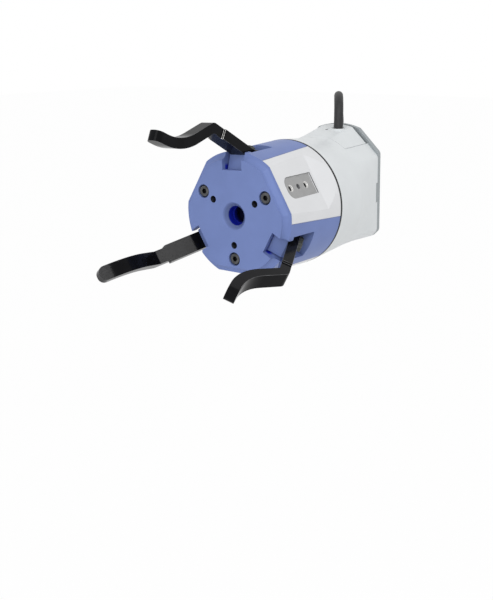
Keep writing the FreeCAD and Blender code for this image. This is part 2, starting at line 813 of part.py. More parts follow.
def make_finger(name, angle):
    corner = bar_points()
    body = new_body(f"finger_{name}")
    profile = new_sketch(body, "YZ_Plane")
    ring = ["heel", "elbow", "belly", "end", "inner_end", "inner_belly", "inner_elbow", "inner_heel"]
    outline(profile, [corner[key] for key in ring])
    pad(body, profile, dim("finger_width"))
    round_edges(body, dim("belly_round"), [place_of(corner["belly"])])
    round_edges(body, dim("belly_round") + dim("bar_thickness"), [place_of(corner["inner_belly"])])
    round_edges(body, dim("elbow_outer_round"), [place_of(corner["elbow"])])
    round_edges(body, dim("elbow_inner_round"), [place_of(corner["inner_elbow"])])
    half = dim("finger_width").value / 2
    middle = (place_of(corner["end"]) + place_of(corner["inner_end"])) / 2
    round_edges(body, dim("tip_round"), [middle + V(half, 0, 0), middle - V(half, 0, 0)])
    wide = new_sketch(body, "YZ_Plane")
    outline(wide, [corner[key] for key in ("heel", "step", "inner_step", "inner_heel")])
    pad(body, wide, dim("arm_width"))
    for number in range(2):
        hole = new_sketch(body, "XY_Plane")
        add_screw_hole(body, hole, number)
    body.Placement = FreeCAD.Placement(V(), turn(angle))
    return keep(body)


def screw_seat(number):
    """Where a finger screw's head bears on the bar, as (y, z)."""
    arm = dim("arm_angle")
    along = -dim("finger_screw_first") + dim("finger_screw_pitch") * number
    rise = dim("saddle_height") + dim("bar_thickness")
    pivot_y, pivot_z = station(dim("pivot_station")), dim("pivot_offset")
    return pivot_y - cosine(arm) * along + sine(arm) * rise, pivot_z + sine(arm) * along + cosine(arm) * rise


def add_screw_hole(body, sketch, number):
    """Drills the bar square to its outer face."""
    y, z = screw_seat(number)
    sketch.setExpression("AttachmentOffset.Base.y", y.text)
    sketch.setExpression("AttachmentOffset.Base.z", z.text)
    sketch.AttachmentOffset = FreeCAD.Placement(V(0, y.value, z.value), FreeCAD.Rotation(V(1, 0, 0), -dim("arm_angle").value))
    sketch.setExpression("AttachmentOffset.Rotation.Axis.x", "1")
    sketch.setExpression("AttachmentOffset.Rotation.Angle", (-dim("arm_angle")).text)
    circle(sketch, 0, 0, dim("small_screw_radius") + dim("screw_hole_gap"))
    pocket(body, sketch, dim("bar_thickness") * 3)


def make_finger_screws(name, angle):
    screws = []
    tilt = FreeCAD.Rotation(V(1, 0, 0), 180 - dim("arm_angle").value)
    length = dim("bar_thickness") + dim("finger_screw_grip")
    for number in range(2):
        y, z = screw_seat(number)
        screws.append(cap_screw(f"finger_screw_{name}_{number + 1}", 0, y, z, tilt, SMALL_SCREW, length))
    result = group(f"finger_screws_{name}", screws)
    result.Placement = FreeCAD.Placement(V(), turn(angle))
    return keep(result)


def involute_turn(radius, base):
    """How far an involute from the base circle has turned at a radius."""
    lean = math.acos(min(1.0, base / radius))
    return math.tan(lean) - lean


PRESSURE_ANGLE = 20
SECTOR_TEETH = range(-3, 2)
SECTOR_START, SECTOR_END = 224, 290


def sector_rim(pivot):
    """The toothed edge of a lever, from the front of the sector to its back, and its end points."""
    module, teeth = dim("tooth_module").value, dim("gear_teeth").value
    pitch = module * teeth / 2
    tip, foot = pitch + module, pitch - 1.25 * module
    base = pitch * math.cos(math.radians(PRESSURE_ANGLE))
    half_tooth = math.pi / 2 / teeth - dim("tooth_backlash").value / 4 / pitch + involute_turn(pitch, base)

    def spot(radius, angle):
        return pivot + V(0, radius * math.cos(angle), radius * math.sin(angle))

    edges = []
    at = spot(foot, math.radians(SECTOR_START))
    first = at
    for number in SECTOR_TEETH:
        middle = math.radians(BOTTOM) + number * 2 * math.pi / teeth
        radii = [base + (tip - base) * step / 4 for step in range(5)]
        rise = [spot(radius, middle - half_tooth + involute_turn(radius, base)) for radius in radii]
        fall = [spot(radius, middle + half_tooth - involute_turn(radius, base)) for radius in reversed(radii)]
        edges.append(Part.LineSegment(at, spot(foot, middle - half_tooth)).toShape())
        edges.append(Part.LineSegment(spot(foot, middle - half_tooth), rise[0]).toShape())
        for flank, following in ((rise, fall[0]), (fall, spot(foot, middle + half_tooth))):
            curve = Part.BSplineCurve()
            curve.interpolate(flank)
            edges.append(curve.toShape())
            edges.append(Part.LineSegment(flank[-1], following).toShape())
        at = spot(foot, middle + half_tooth)
    last = spot(foot, math.radians(SECTOR_END))
    edges.append(Part.LineSegment(at, last).toShape())
    return edges, first, last


def make_lever(name, angle):
    """A lever with a toothed sector towards the rack, a seat for the finger and a face that fills the notch."""
    pivot = V(0, station(dim("pivot_station")).value, dim("pivot_offset").value)
    arm, tilt = math.radians(dim("arm_angle").value), math.radians(dim("lever_face_tilt").value)
    along = V(0, -math.cos(arm), math.sin(arm))
    seat = pivot + V(0, math.sin(arm), math.cos(arm)) * dim("saddle_height").value
    heel = seat - along * dim("root_back").value
    face = pivot + V(0, -math.cos(tilt), math.sin(tilt)) * dim("lever_face").value
    climb = V(0, math.sin(tilt), math.cos(tilt))
    reach = ((seat - face).y * along.z - (seat - face).z * along.y) / (climb.y * along.z - climb.z * along.y)
    brow = face + climb * reach
    chin = face - climb * dim("lever_chin").value
    edges, front, back = sector_rim(pivot)
    rump = pivot + V(0, dim("saddle_height").value * 1.9, -dim("saddle_height").value)
    corners = [back, rump, heel, brow, chin, front]
    for start, end in zip(corners, corners[1:]):
        edges.append(Part.LineSegment(start, end).toShape())
    wire = Part.Wire(Part.__sortEdges__(edges))
    width = dim("lever_width").value
    blank = Part.Face(wire).extrude(V(width, 0, 0))
    blank.translate(V(-width / 2, 0, 0))
    bore_radius = dim("pin_radius").value + dim("running_gap").value
    bore = Part.makeCylinder(bore_radius, width * 2, pivot - V(width, 0, 0), V(1, 0, 0))
    shape = blank.cut(bore)
    inwards = -V(0, math.sin(arm), math.cos(arm))
    for number in range(2):
        y, z = screw_seat(number)
        depth = dim("bar_thickness").value + dim("finger_screw_grip").value + dim("running_gap").value
        shape = shape.cut(Part.makeCylinder(dim("small_screw_radius").value, depth, V(0, y.value, z.value), inwards))
    lever = doc.addObject("Part::Feature", f"finger_lever_{name}")
    lever.Label = f"finger_lever_{name}"
    lever.Shape = shape
    lever.Placement = FreeCAD.Placement(V(), turn(angle))
    return keep(lever)


def make_pivot_pin(name, angle):
    half = dim("pin_half_length")
    pin = rod(f"pivot_pin_{name}_bar", dim("pin_radius"), half * 2, -half, station(dim("pivot_station")),
              dim("pivot_offset"), SIDEWAYS)
    result = group(f"pivot_pin_{name}", [pin])
    result.Placement = FreeCAD.Placement(V(), turn(angle))
    return keep(result)


# Drive: a round rack in one piece with its nut, on a screw that the motor turns


def rack_pitch_radius():
    return dim("pivot_offset") - dim("tooth_module") * dim("gear_teeth") / 2


RACK_SPACES = 5
SPACES_AHEAD = 3


def make_rack():
    body = new_body("rack_nut")
    module, pitch = dim("tooth_module"), rack_pitch_radius()
    crest, foot = pitch + module, pitch - module * 1.25
    slide = dim("sleeve_radius") + dim("running_gap")
    thread = dim("screw_radius") + dim("running_gap")
    revolve(body, [
        (dim("rack_front"), slide),
        (dim("rack_front"), crest),
        (dim("rack_teeth_end"), crest),
        (dim("rack_teeth_end"), dim("nut_radius")),
        (dim("rack_rear"), dim("nut_radius")),
        (dim("rack_rear"), thread),
        (dim("nut_front"), thread),
        (dim("nut_front"), slide),
    ])
    spacing = module * math.pi
    lean = math.tan(math.radians(PRESSURE_ANGLE))
    middle = dim("pivot_station") - spacing * SPACES_AHEAD
    half = spacing / 4 + dim("tooth_backlash") / 4
    over = crest + module
    wide, narrow = half + (over - pitch) * lean, half - (pitch - foot) * lean
    groove = revolve(body, [
        (middle - narrow, foot),
        (middle + narrow, foot),
        (middle + wide, over),
        (middle - wide, over),
    ], cut=True)
    row = body.newObject("PartDesign::LinearPattern", "Row")
    row.Originals = [groove]
    row.Direction = (origin_item(body, "Y_Axis"), [""])
    row.setExpression("Length", (spacing * (RACK_SPACES - 1)).text)
    row.Occurrences = RACK_SPACES
    body.Tip = row
    seat = new_sketch(body, "XY_Plane", -dim("key_seat"))
    half_key, start = dim("key_width") / 2, station(dim("key_station"))
    end = start + dim("key_length")
    outline(seat, [(-half_key, start), (half_key, start), (half_key, end), (-half_key, end)])
    pocket(body, seat, dim("nut_radius"), both_sides=False)
    return keep(body)


def make_guide():
    """The key that keeps the nut from turning, and the bush that the nut and its key slide in."""
    half, start = dim("key_width") / 2, station(dim("key_station"))
    key = box("guide_key", (-half, half), (start, start + dim("key_length")), (-dim("key_top"), -dim("key_seat")))
    keep(key)
    gap = dim("running_gap")
    body = new_body("guide_bush")
    front, rear = dim("bush_front"), dim("bush_rear")
    revolve(body, [
        (front, dim("nut_radius") + gap),
        (front, dim("bush_radius")),
        (rear, dim("bush_radius")),
        (rear, dim("nut_radius") + gap),
    ])
    keyway = new_sketch(body, "XZ_Plane", -station(rear + 1))
    side, top = half + gap, -dim("key_top") - gap * 4
    outline(keyway, [(-side, top), (side, top), (side, 0), (-side, 0)])
    pocket(body, keyway, rear - front + 2, both_sides=False, backwards=True)
    keep(body)


def make_bearing(name, start):
    """A ball bearing: its two grooved rings and its balls."""
    inner, outer = dim("screw_radius"), dim("bearing_outer")
    middle = (inner + outer) / 2
    ball, width = dim("ball_radius"), dim("bearing_width")
    land = ball * 0.45
    centre = start + width / 2
    for label, near, far in (("inner", inner, middle - land), ("outer", middle + land, outer)):
        ring = new_body(f"{name}_bearing_{label}")
        revolve(ring, [(start, near), (start, far), (start + width, far), (start + width, near)])
        race = ball * 1.03
        side = root(race * race - land * land)
        lip = far if label == "inner" else near
        bulge = -1 if label == "inner" else 1
        above = lip + land * (1 if label == "inner" else -1)
        revolve(ring, [
            (centre - side, lip, race, -bulge),
            (centre + side, lip),
            (centre + side, above),
            (centre - side, above),
        ], cut=True)
        keep(ring)
    balls = []
    count = int(dim("ball_count").value)
    for number in range(count):
        sphere = doc.addObject("Part::Sphere", f"{name}_ball_{number + 1}")
        sphere.setExpression("Radius", ball.text)
        x, z = polar(middle, size(number) * ROUND / dim("ball_count"))
        for letter, place in (("x", x), ("y", station(centre)), ("z", z)):
            sphere.setExpression(f"Placement.Base.{letter}", place.text)
        balls.append(sphere)
    keep(group(f"{name}_bearing_balls", balls))


def make_drive():
    front_seat = bulkhead_rear() - dim("bearing_width")
    rear_seat = motor_rear() + dim("bearing_shoulder")
    make_bearing("front", front_seat)
    make_bearing("rear", rear_seat)
    shaft, collar = dim("screw_radius"), dim("collar_radius")
    collar_front = bulkhead_rear()
    keep(turned("drive_screw", [
        (dim("screw_front"), 0),
        (dim("screw_front"), shaft),
        (collar_front, shaft),
        (collar_front, collar),
        (collar_front + dim("collar_width"), collar),
        (collar_front + dim("collar_width"), shaft),
        (cap_rear() - dim("screw_recess"), shaft),
        (cap_rear() - dim("screw_recess"), 0),
    ]))
    rotor_front = bulkhead_rear() + dim("stator_end_gap")
    rotor_rear = motor_rear() - dim("stator_end_gap")
    rotor = dim("stator_inner") - dim("air_gap")
    keep(turned("rotor", [(rotor_front, shaft), (rotor_front, rotor), (rotor_rear, rotor), (rotor_rear, shaft)]))
    screw_rear = cap_rear() - dim("screw_recess")
    magnet_end = screw_rear + dim("magnet_thickness")
    keep(turned("encoder_magnet", [
        (screw_rear, 0),
        (screw_rear, dim("magnet_radius")),
        (magnet_end, dim("magnet_radius")),
        (magnet_end, 0),
    ]))

    can_inner = motor_radius() - dim("can_wall")
    keep(turned("motor_can", [
        (bulkhead_rear(), can_inner),
        (bulkhead_rear(), motor_radius()),
        (motor_rear(), motor_radius()),
        (motor_rear(), can_inner),
    ]))
    stator = new_body("stator")
    revolve(stator, [
        (rotor_front, dim("stator_inner")),
        (rotor_front, can_inner),
        (rotor_rear, can_inner),
        (rotor_rear, dim("stator_inner")),
    ])
    slot = new_sketch(stator, "XZ_Plane", -station(rotor_rear + 1))
    circle(slot, (dim("stator_inner") + can_inner) / 2, 0, dim("winding_slot_radius"))
    slots = pocket(stator, slot, rotor_rear - rotor_front + 2, both_sides=False, backwards=True)
    around(stator, [slots], dim("stator_slots"))
    keep(stator)
    keep(turned("motor_end_cap", [
        (motor_rear(), dim("bearing_lip")),
        (motor_rear(), motor_radius()),
        (cap_rear(), motor_radius()),
        (cap_rear(), dim("bearing_outer")),
        (rear_seat, dim("bearing_outer")),
        (rear_seat, dim("bearing_lip")),
    ]))
    board_front = magnet_end + dim("encoder_gap")
    board_rear = board_front + dim("board_thickness")
    keep(turned("encoder_board", [
        (board_front, 0),
        (board_front, dim("encoder_board_radius")),
        (board_rear, dim("encoder_board_radius")),
        (board_rear, 0),
    ]))
    posts = []
    for number, angle in enumerate(FLATS.values(), start=1):
        x, z = polar(dim("post_circle"), angle)
        posts.append(rod(f"board_post_{number}", dim("post_radius"), board_front - cap_rear(), x,
                         station(cap_rear()), z, BACK))
    keep(group("board_posts", posts))


def make_bulkhead():
    """The plate that joins nose, motor and rear housing, with the front bearing in its bore."""
    body = new_body("bulkhead")
    rim = bulkhead_rim()
    start, end = dim("nose_length"), bulkhead_rear()
    revolve(body, [
        (start, dim("bearing_lip")),
        (start, rim),
        (end, rim),
        (end, dim("bearing_outer")),
        (end - dim("bearing_width"), dim("bearing_outer")),
        (end - dim("bearing_width"), dim("bearing_lip")),
    ])
    tapped = new_sketch(body, "XZ_Plane", -station(end + 1))
    circle(tapped, 0, -nose_bolt_circle(), dim("nose_screw_radius"))
    circle(tapped, 0, -front_boss_circle(), dim("small_screw_radius") + dim("screw_hole_gap"))
    holes = pocket(body, tapped, dim("bulkhead_thickness") + 2, both_sides=False, backwards=True)
    head = new_sketch(body, "XZ_Plane", -station(start - 1))
    circle(head, 0, -front_boss_circle(), dim("small_head_radius") + dim("screw_hole_gap"))
    sinks = pocket(body, head, dim("small_head_height") + 1 + dim("gasket_thickness"), both_sides=False)
    around(body, [holes, sinks], len(FLATS))
    body.Placement = FreeCAD.Placement(V(), turn(FLATS["upper_right"] + 180))
    return keep(body)


# Rear housing: a shell that goes from the round seam to a rear end with flats and a domed top


def rear_outline(inset, high_height):
    """The rear end's outline as (x, z, radius, bulge) points, from the right flat's lower end round to the left."""
    side = side_flat() - inset
    shrink = inset * math.sqrt(2)
    underside = dim("body_radius") - dim("bottom_depth")
    above, below = side_flat() + high_height - shrink, side_flat() + underside - dim("bottom_corner") - shrink
    dome, bottom = dome_radius() - inset, underside - inset
    corner = dim("rear_corner") - inset
    trim = corner * math.tan(math.radians(22.5))
    slant = trim * math.sqrt(0.5)
    high, deep = above - side, below - side
    crown = (above - root(dome * dome * 2 - above * above)) / 2
    low = below - bottom
    return [
        (low - trim, -bottom, corner, 1),
        (low + slant, slant - bottom),
        (side - slant, -deep - slant, corner, 1),
        (side, trim - deep),
        (side, high - trim, corner, 1),
        (side - slant, high + slant),
        (crown, above - crown, dome, 1),
        (-crown, above - crown),
        (slant - side, high + slant, corner, 1),
        (-side, high - trim),
        (-side, trim - deep, corner, 1),
        (slant - side, -deep - slant),
        (-low - slant, slant - bottom, corner, 1),
        (trim - low, -bottom),
    ]


def round_outline(inset, radius):
    """A round section of the housing, divided where the rear end's outline has its corners."""
    points = []
    for point in rear_outline(inset, dim("housing_high_height")):
        x, z = size(point[0]), size(point[1])
        length = root(x * x + z * z)
        points.append((x / length * (radius - inset), z / length * (radius - inset), radius - inset, 1))
    return points


def loft(body, inset, kind):
    """The housing's shape: round at the seam, round and narrower at the waist, and flats behind."""
    sections = (
        (seam_station(), round_outline(inset, dim("body_radius"))),
        (seam_station() + dim("waist_setback"), round_outline(inset, dim("body_radius") - dim("waist_depth"))),
        (housing_rear(), rear_outline(inset, dim("housing_high_height"))),
    )
    sketches = [outline(new_sketch(body, "XZ_Plane", -station(place)), points) for place, points in sections]
    feature = body.newObject(kind, "Loft")
    feature.Profile = sketches[0]
    feature.Sections = sketches[1:]
    feature.Ruled = True
    return feature


def make_rear_shell():
    shell = doc.addObject("PartDesign::Body", "rear_shell")
    loft(shell, size(0), "PartDesign::AdditiveLoft")
    loft(shell, dim("housing_wall"), "PartDesign::SubtractiveLoft")
    return shell


def cover_wedge(name, margin):
    """The part of the shell that the top cover takes, with a margin round it."""
    body = doc.addObject("PartDesign::Body", name)
    reach = dome_radius() * 2
    lean = dim("seam_angle")
    drop = margin / sine(lean)
    end = housing_rear() - dim("cover_rear_gap")
    front = end - dim("cover_length")
    sketch = new_sketch(body, "XZ_Plane", -station(front - margin))
    outline(sketch, [
        (0, -drop),
        (reach * sine(lean), reach * cosine(lean) - drop),
        (-reach * sine(lean), reach * cosine(lean) - drop),
    ])
    length = end - front + margin * 2 + (dim("cover_rear_gap") if margin.value else 0)
    pad(body, sketch, length, both_sides=False, backwards=True)
    return body


def make_rear_housing():
    shell = make_rear_shell()
    gland_hole = rod("gland_hole", dim("gland_radius"), dome_radius() * 2, dim("gland_x"),
                     station(gland_station()), 0, UP)
    blank = common("top_cover_blank", shell, cover_wedge("cover_space", size(0)))
    slot_half, slot_place = dim("light_slot_width") / 2, station(housing_rear() - dim("light_slot_setback"))
    slot_span = dim("light_slot_length") / 2
    slot = box("light_slot", (-slot_half, slot_half), (slot_place - slot_span, slot_place + slot_span),
               (0, dome_radius() * 2))
    keep(cut("top_cover", cut("top_cover_drilled", blank, gland_hole), slot))
    notches = box("tab_notches", (-dim("body_radius"), dim("body_radius")),
                  (station(housing_rear() - dim("tab_reach") - dim("tab_gap")), 0),
                  (-dim("tab_width") / 2 - dim("tab_gap"), dim("tab_width") / 2 + dim("tab_gap")))
    notched = cut("rear_housing_notched", shell, notches)
    opened = cut("rear_housing_opened", notched, cover_wedge("cover_opening", dim("seam_gap")))
    bosses = []
    drills = []
    for number, angle in enumerate(FLATS.values(), start=1):
        x, z = polar(front_boss_circle(), angle)
        bosses.append(rod(f"front_boss_{number}", dim("front_boss_radius"), dim("boss_length"), x,
                          station(bulkhead_rear()), z, BACK))
        drills.append(rod(f"front_drill_{number}", dim("small_screw_radius"), dim("boss_length"), x,
                          station(bulkhead_rear()), z, BACK))
    end, rear_length = plate_front(), dim("rear_boss_length")
    for number, (x, z) in enumerate(plate_screw_places(), start=1):
        bosses.append(rod(f"rear_boss_{number}", dim("rear_boss_radius"), rear_length, x, station(end), z, FORWARD))
        drills.append(rod(f"rear_drill_{number}", dim("small_screw_radius"), rear_length, x, station(end), z, FORWARD))
    drills.append(rod("motor_space", motor_radius() + dim("boss_motor_gap"), motor_rear() - bulkhead_rear(), 0,
                      station(bulkhead_rear()), 0, BACK))
    outside = doc.addObject("PartDesign::Body", "housing_outside")
    loft(outside, dim("housing_wall") / 2, "PartDesign::AdditiveLoft")
    joined = doc.addObject("Part::MultiFuse", "boss_set")
    joined.Shapes = bosses
    trimmed = common("bosses_inside", joined, outside)
    whole = doc.addObject("Part::Fuse", "rear_housing_blank")
    whole.Base, whole.Tool = opened, trimmed
    holes = doc.addObject("Part::MultiFuse", "boss_holes")
    holes.Shapes = drills
    keep(cut("rear_housing", whole, holes))


def plate_screw_places():
    x, z = side_flat() - dim("plate_screw_inset"), dim("plate_screw_z")
    return [(x, z), (-x, z), (-x, -z), (x, -z)]


FLANGE_ANGLES = (45, 135, 225, 315)


def make_rear_plate():
    body = new_body("rear_plate")
    thick, flange = dim("plate_thickness"), dim("plate_flange")
    blank = new_sketch(body, "XZ_Plane", flange)
    outline(blank, rear_outline(size(0), dim("plate_high_height")))
    pad(body, blank, flange, both_sides=False, backwards=True)
    spigot = new_sketch(body, "XZ_Plane", thick)
    outline(spigot, rear_outline(dim("housing_wall") + dim("spigot_gap"), dim("housing_high_height")))
    pad(body, spigot, thick - flange, both_sides=False, backwards=True)
    tabs = new_sketch(body, "XZ_Plane", flange + dim("tab_reach"))
    half, outer = dim("tab_width") / 2, side_flat()
    inner = outer - dim("housing_wall")
    outline(tabs, [(inner, -half), (outer, -half), (outer, half), (inner, half)])
    outline(tabs, [(-outer, -half), (-inner, -half), (-inner, half), (-outer, half)])
    pad(body, tabs, dim("tab_reach"), both_sides=False, backwards=True)
    pilot = new_sketch(body, "XZ_Plane", size(-1))
    circle(pilot, 0, 0, dim("pilot_radius"))
    pocket(body, pilot, dim("pilot_depth") + 1, both_sides=False, backwards=True)
    holes = new_sketch(body, "XZ_Plane", size(-1))
    for angle in FLANGE_ANGLES:
        circle(holes, *polar(dim("flange_circle"), angle), dim("flange_hole_radius"))
    for x, z in plate_screw_places():
        circle(holes, x, z, dim("small_screw_radius") + dim("screw_hole_gap"))
    pocket(body, holes, thick + 2, both_sides=False, backwards=True)
    sinks = new_sketch(body, "XZ_Plane", size(-1))
    for x, z in plate_screw_places():
        circle(sinks, x, z, dim("small_head_radius") + dim("screw_hole_gap"))
    pocket(body, sinks, dim("small_head_height") * 1.2 + 1, both_sides=False, backwards=True)
    return keep(body)


def make_fasteners():
    nose, bulkhead, plate = [], [], []
    seat = station(dim("nose_head_depth"))
    for number, angle in enumerate(FLATS.values(), start=1):
        x, z = polar(nose_bolt_circle(), angle)
        nose.append(cap_screw(f"nose_screw_{number}", x, seat, z, BACK, NOSE_SCREW, bulkhead_rear() - dim("nose_head_depth") - dim("nose_screw_setback")))
        x, z = polar(front_boss_circle(), angle)
        head = station(seam_station() + dim("small_head_height"))
        length = bulkhead_rear() - seam_station() - dim("small_head_height") + dim("boss_screw_length")
        bulkhead.append(cap_screw(f"bulkhead_screw_{number}", x, head, z, BACK, SMALL_SCREW, length))
    sink = dim("small_head_height") * 1.2
    for number, (x, z) in enumerate(plate_screw_places(), start=1):
        length = dim("plate_thickness") - sink + dim("plate_screw_grip")
        plate.append(cap_screw(f"plate_screw_{number}", x, -sink, z, FORWARD, SMALL_SCREW, length))
    keep(group("nose_screws", nose))
    keep(group("bulkhead_screws", bulkhead))
    keep(group("plate_screws", plate))


def make_gasket():
    outer = dim("body_radius") - dim("gasket_inset")
    inner = outer - dim("gasket_width")
    keep(turned("seam_gasket", [
        (dim("nose_length"), inner),
        (dim("nose_length"), outer),
        (seam_station(), outer),
        (seam_station(), inner),
    ]))


def make_control_board():
    """The board above the motor, on a bracket at each end, with the header that the cable plugs into."""
    half, low = dim("control_board_half"), motor_radius() + dim("board_rise")
    high = low + dim("board_thickness")
    front, rear = station(bulkhead_rear()), station(cap_rear() + dim("bracket_length"))
    keep(box("control_board", (-half, half), (front, rear), (low, high)))
    side, length, drop = dim("bracket_half"), dim("bracket_length"), dim("bracket_drop")
    first = box("front_bracket", (-side, side), (front, front + length), (motor_radius() + dim("seam_gap"), low))
    second = box("rear_bracket", (-side, side), (rear - length, rear), (low - drop, low))
    keep(group("board_brackets", [first, second]))
    span = dim("header_width") / 2
    keep(box("cable_header", (-span, span), (rear - length * 4, rear - length * 4 + dim("header_length")),
             (high, high + dim("header_height"))))


# Cable: out of the top cover, over in a bend and down behind the gripper to its plug

CABLE_ROUTE = [
    (6, -14, 37), (6, -14, 55), (-0.4, -3, 67.7), (-9.5, 12.6, 67.7), (-15.9, 23.6, 55),
    (-16.5, 24.5, 37), (-28, 27, 24), (-36, 28, 8), (-36, 28, -9),
]
BEND_SHARE = 0.49


def cable_path():
    """Straight runs joined by tangent arcs, each as large as its two runs allow."""
    places = [V(*place) for place in CABLE_ROUTE]
    edges = []
    at = places[0]
    for before, corner, after in zip(places, places[1:], places[2:]):
        back, ahead = (before - corner).normalize(), (after - corner).normalize()
        half_turn = (math.pi - back.getAngle(ahead)) / 2
        tangent = BEND_SHARE * min((before - corner).Length, (after - corner).Length)
        radius = tangent / math.tan(half_turn)
        print(f"cable bend radius {radius:.1f} mm")
        start, end = corner + back * tangent, corner + ahead * tangent
        inwards = (back + ahead).normalize()
        middle = corner + inwards * (radius / math.cos(half_turn) - radius)
        edges.append(Part.LineSegment(at, start).toShape())
        edges.append(Part.Arc(start, middle, end).toShape())
        at = end
    edges.append(Part.LineSegment(at, places[-1]).toShape())
    return Part.Wire(edges)


def make_cable():
    x, y = dim("gland_x"), station(gland_station())
    body = new_body("cable_gland")
    hollow, skin = dim("cable_radius"), dim("gland_radius")
    low = dome_radius() - dim("gland_sink") - dim("gland_length")
    for radius, start, height in (
        (dim("gland_flange"), low - dim("gland_flange_height"), dim("gland_flange_height")),
        (skin, low, dim("gland_length")),
    ):
        sketch = new_sketch(body, "XY_Plane", start)
        circle(sketch, x, y, radius)
        circle(sketch, x, y, hollow)
        pad(body, sketch, height, both_sides=False)
    keep(body)

    path = cable_path()
    start = V(*CABLE_ROUTE[0])
    section = Part.Wire(Part.Circle(start, V(0, 0, 1), dim("cable_radius").value).toShape())
    tube = path.makePipeShell([section], True, False)
    cable = doc.addObject("Part::Feature", "cable")
    cable.Label = "cable"
    cable.Shape = tube
    expected = math.pi * dim("cable_radius").value ** 2 * path.Length
    print(f"cable length {path.Length:.1f} mm, volume share {tube.Volume / expected:.4f}")
    keep(cable)

    plug = new_body("cable_plug")
    low = size(CABLE_ROUTE[-1][2])
    rings = (
        (dim("plug_radius"), low - dim("plug_length"), dim("plug_length")),
        (dim("plug_ring"), low - dim("plug_length"), dim("plug_ring_length")),
    )
    for radius, start, height in rings:
        sketch = new_sketch(plug, "XY_Plane", start)
        circle(sketch, CABLE_ROUTE[-1][0], CABLE_ROUTE[-1][1], radius)
        pad(plug, sketch, height, both_sides=False)
    keep(plug)


make_nose()
for flat_name, flat_angle in FLATS.items():
    make_panel(flat_name, flat_angle, flat_name == "upper_right")
make_mounting_pad()
for finger_name, finger_angle in FINGERS.items():
    make_finger(finger_name, finger_angle)
    make_lever(finger_name, finger_angle)
    make_finger_screws(finger_name, finger_angle)
    make_pivot_pin(finger_name, finger_angle)
make_rack()
make_guide()
make_drive()
make_bulkhead()
make_gasket()
make_rear_housing()
make_rear_plate()
make_control_board()
make_cable()
make_fasteners()

doc.recompute()
faults = [item.Name for item in doc.Objects if {"Invalid", "Error"} & set(item.State)]
if faults:
    raise SystemExit(f"failed objects: {faults}")
for piece in pieces:
    if piece.Shape.isNull() or not piece.Shape.isValid():
        raise SystemExit(f"bad shape: {piece.Label}")
os.makedirs("parts", exist_ok=True)
for piece in pieces:
    piece.Shape.exportStep(f"parts/{piece.Label}.step")
print(f"{len(pieces)} pieces written")
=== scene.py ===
"""Looks of the electric three-finger gripper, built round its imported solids.

Lengths are in metres, in the solids' own frame.
"""
import json
import math

import bmesh
import bpy
from mathutils import Matrix, Vector

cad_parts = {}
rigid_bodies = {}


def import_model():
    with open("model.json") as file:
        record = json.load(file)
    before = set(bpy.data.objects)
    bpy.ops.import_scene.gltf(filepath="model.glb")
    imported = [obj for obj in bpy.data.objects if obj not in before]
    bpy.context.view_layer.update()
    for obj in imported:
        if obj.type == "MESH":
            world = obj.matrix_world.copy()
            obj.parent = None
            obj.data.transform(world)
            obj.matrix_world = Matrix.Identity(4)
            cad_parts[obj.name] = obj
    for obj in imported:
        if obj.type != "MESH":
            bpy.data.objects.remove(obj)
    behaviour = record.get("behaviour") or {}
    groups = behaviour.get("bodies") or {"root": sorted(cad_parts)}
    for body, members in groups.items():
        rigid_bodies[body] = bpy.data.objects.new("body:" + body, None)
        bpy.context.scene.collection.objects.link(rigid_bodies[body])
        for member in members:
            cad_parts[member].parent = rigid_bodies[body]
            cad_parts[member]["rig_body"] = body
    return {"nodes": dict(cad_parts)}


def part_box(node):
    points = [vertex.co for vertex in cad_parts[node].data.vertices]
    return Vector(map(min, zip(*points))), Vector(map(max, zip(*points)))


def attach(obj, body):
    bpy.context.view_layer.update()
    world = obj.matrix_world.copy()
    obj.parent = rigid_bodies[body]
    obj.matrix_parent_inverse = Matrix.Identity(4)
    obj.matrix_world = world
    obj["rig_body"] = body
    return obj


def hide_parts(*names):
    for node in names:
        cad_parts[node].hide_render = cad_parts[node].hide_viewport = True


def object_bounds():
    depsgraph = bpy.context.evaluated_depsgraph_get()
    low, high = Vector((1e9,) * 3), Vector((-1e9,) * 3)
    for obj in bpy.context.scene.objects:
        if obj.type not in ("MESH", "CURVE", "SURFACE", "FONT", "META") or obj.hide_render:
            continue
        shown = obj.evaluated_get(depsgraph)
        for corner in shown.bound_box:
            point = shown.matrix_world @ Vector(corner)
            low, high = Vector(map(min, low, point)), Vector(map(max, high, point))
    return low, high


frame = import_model()
cad_low, cad_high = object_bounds()

# Rear plate: an aluminium plate, milled to the outline of the housing, blasted and clear anodised.
# It bolts the gripper to a robot's wrist; a spigot and two side tabs locate it in the housing.


def new_finish(name, colour, roughness, metallic=0.0):
    """A plain finish: its material, with the shader's own values set."""
    finish = bpy.data.materials.new(name)
    finish.use_nodes = True
    shader = finish.node_tree.nodes["Principled BSDF"]
    shader.inputs["Base Color"].default_value = (*colour, 1.0)
    shader.inputs["Roughness"].default_value = roughness
    shader.inputs["Metallic"].default_value = metallic
    finish.diffuse_color = (*colour, 1.0)
    return finish


def grain(finish, per_metre, stretch=(1, 1, 1), detail=3.0):
    """A noise over the piece's own coordinates, drawn out along the axes where stretch is small."""
    tree = finish.node_tree
    place = tree.nodes.new("ShaderNodeTexCoord")
    mapping = tree.nodes.new("ShaderNodeMapping")
    mapping.inputs["Scale"].default_value = stretch
    noise = tree.nodes.new("ShaderNodeTexNoise")
    noise.inputs["Scale"].default_value = per_metre
    noise.inputs["Detail"].default_value = detail
    tree.links.new(place.outputs["Object"], mapping.inputs["Vector"])
    tree.links.new(mapping.outputs["Vector"], noise.inputs["Vector"])
    return noise.outputs["Fac"]


GRAIN_LOW, GRAIN_HIGH = 0.3, 0.7


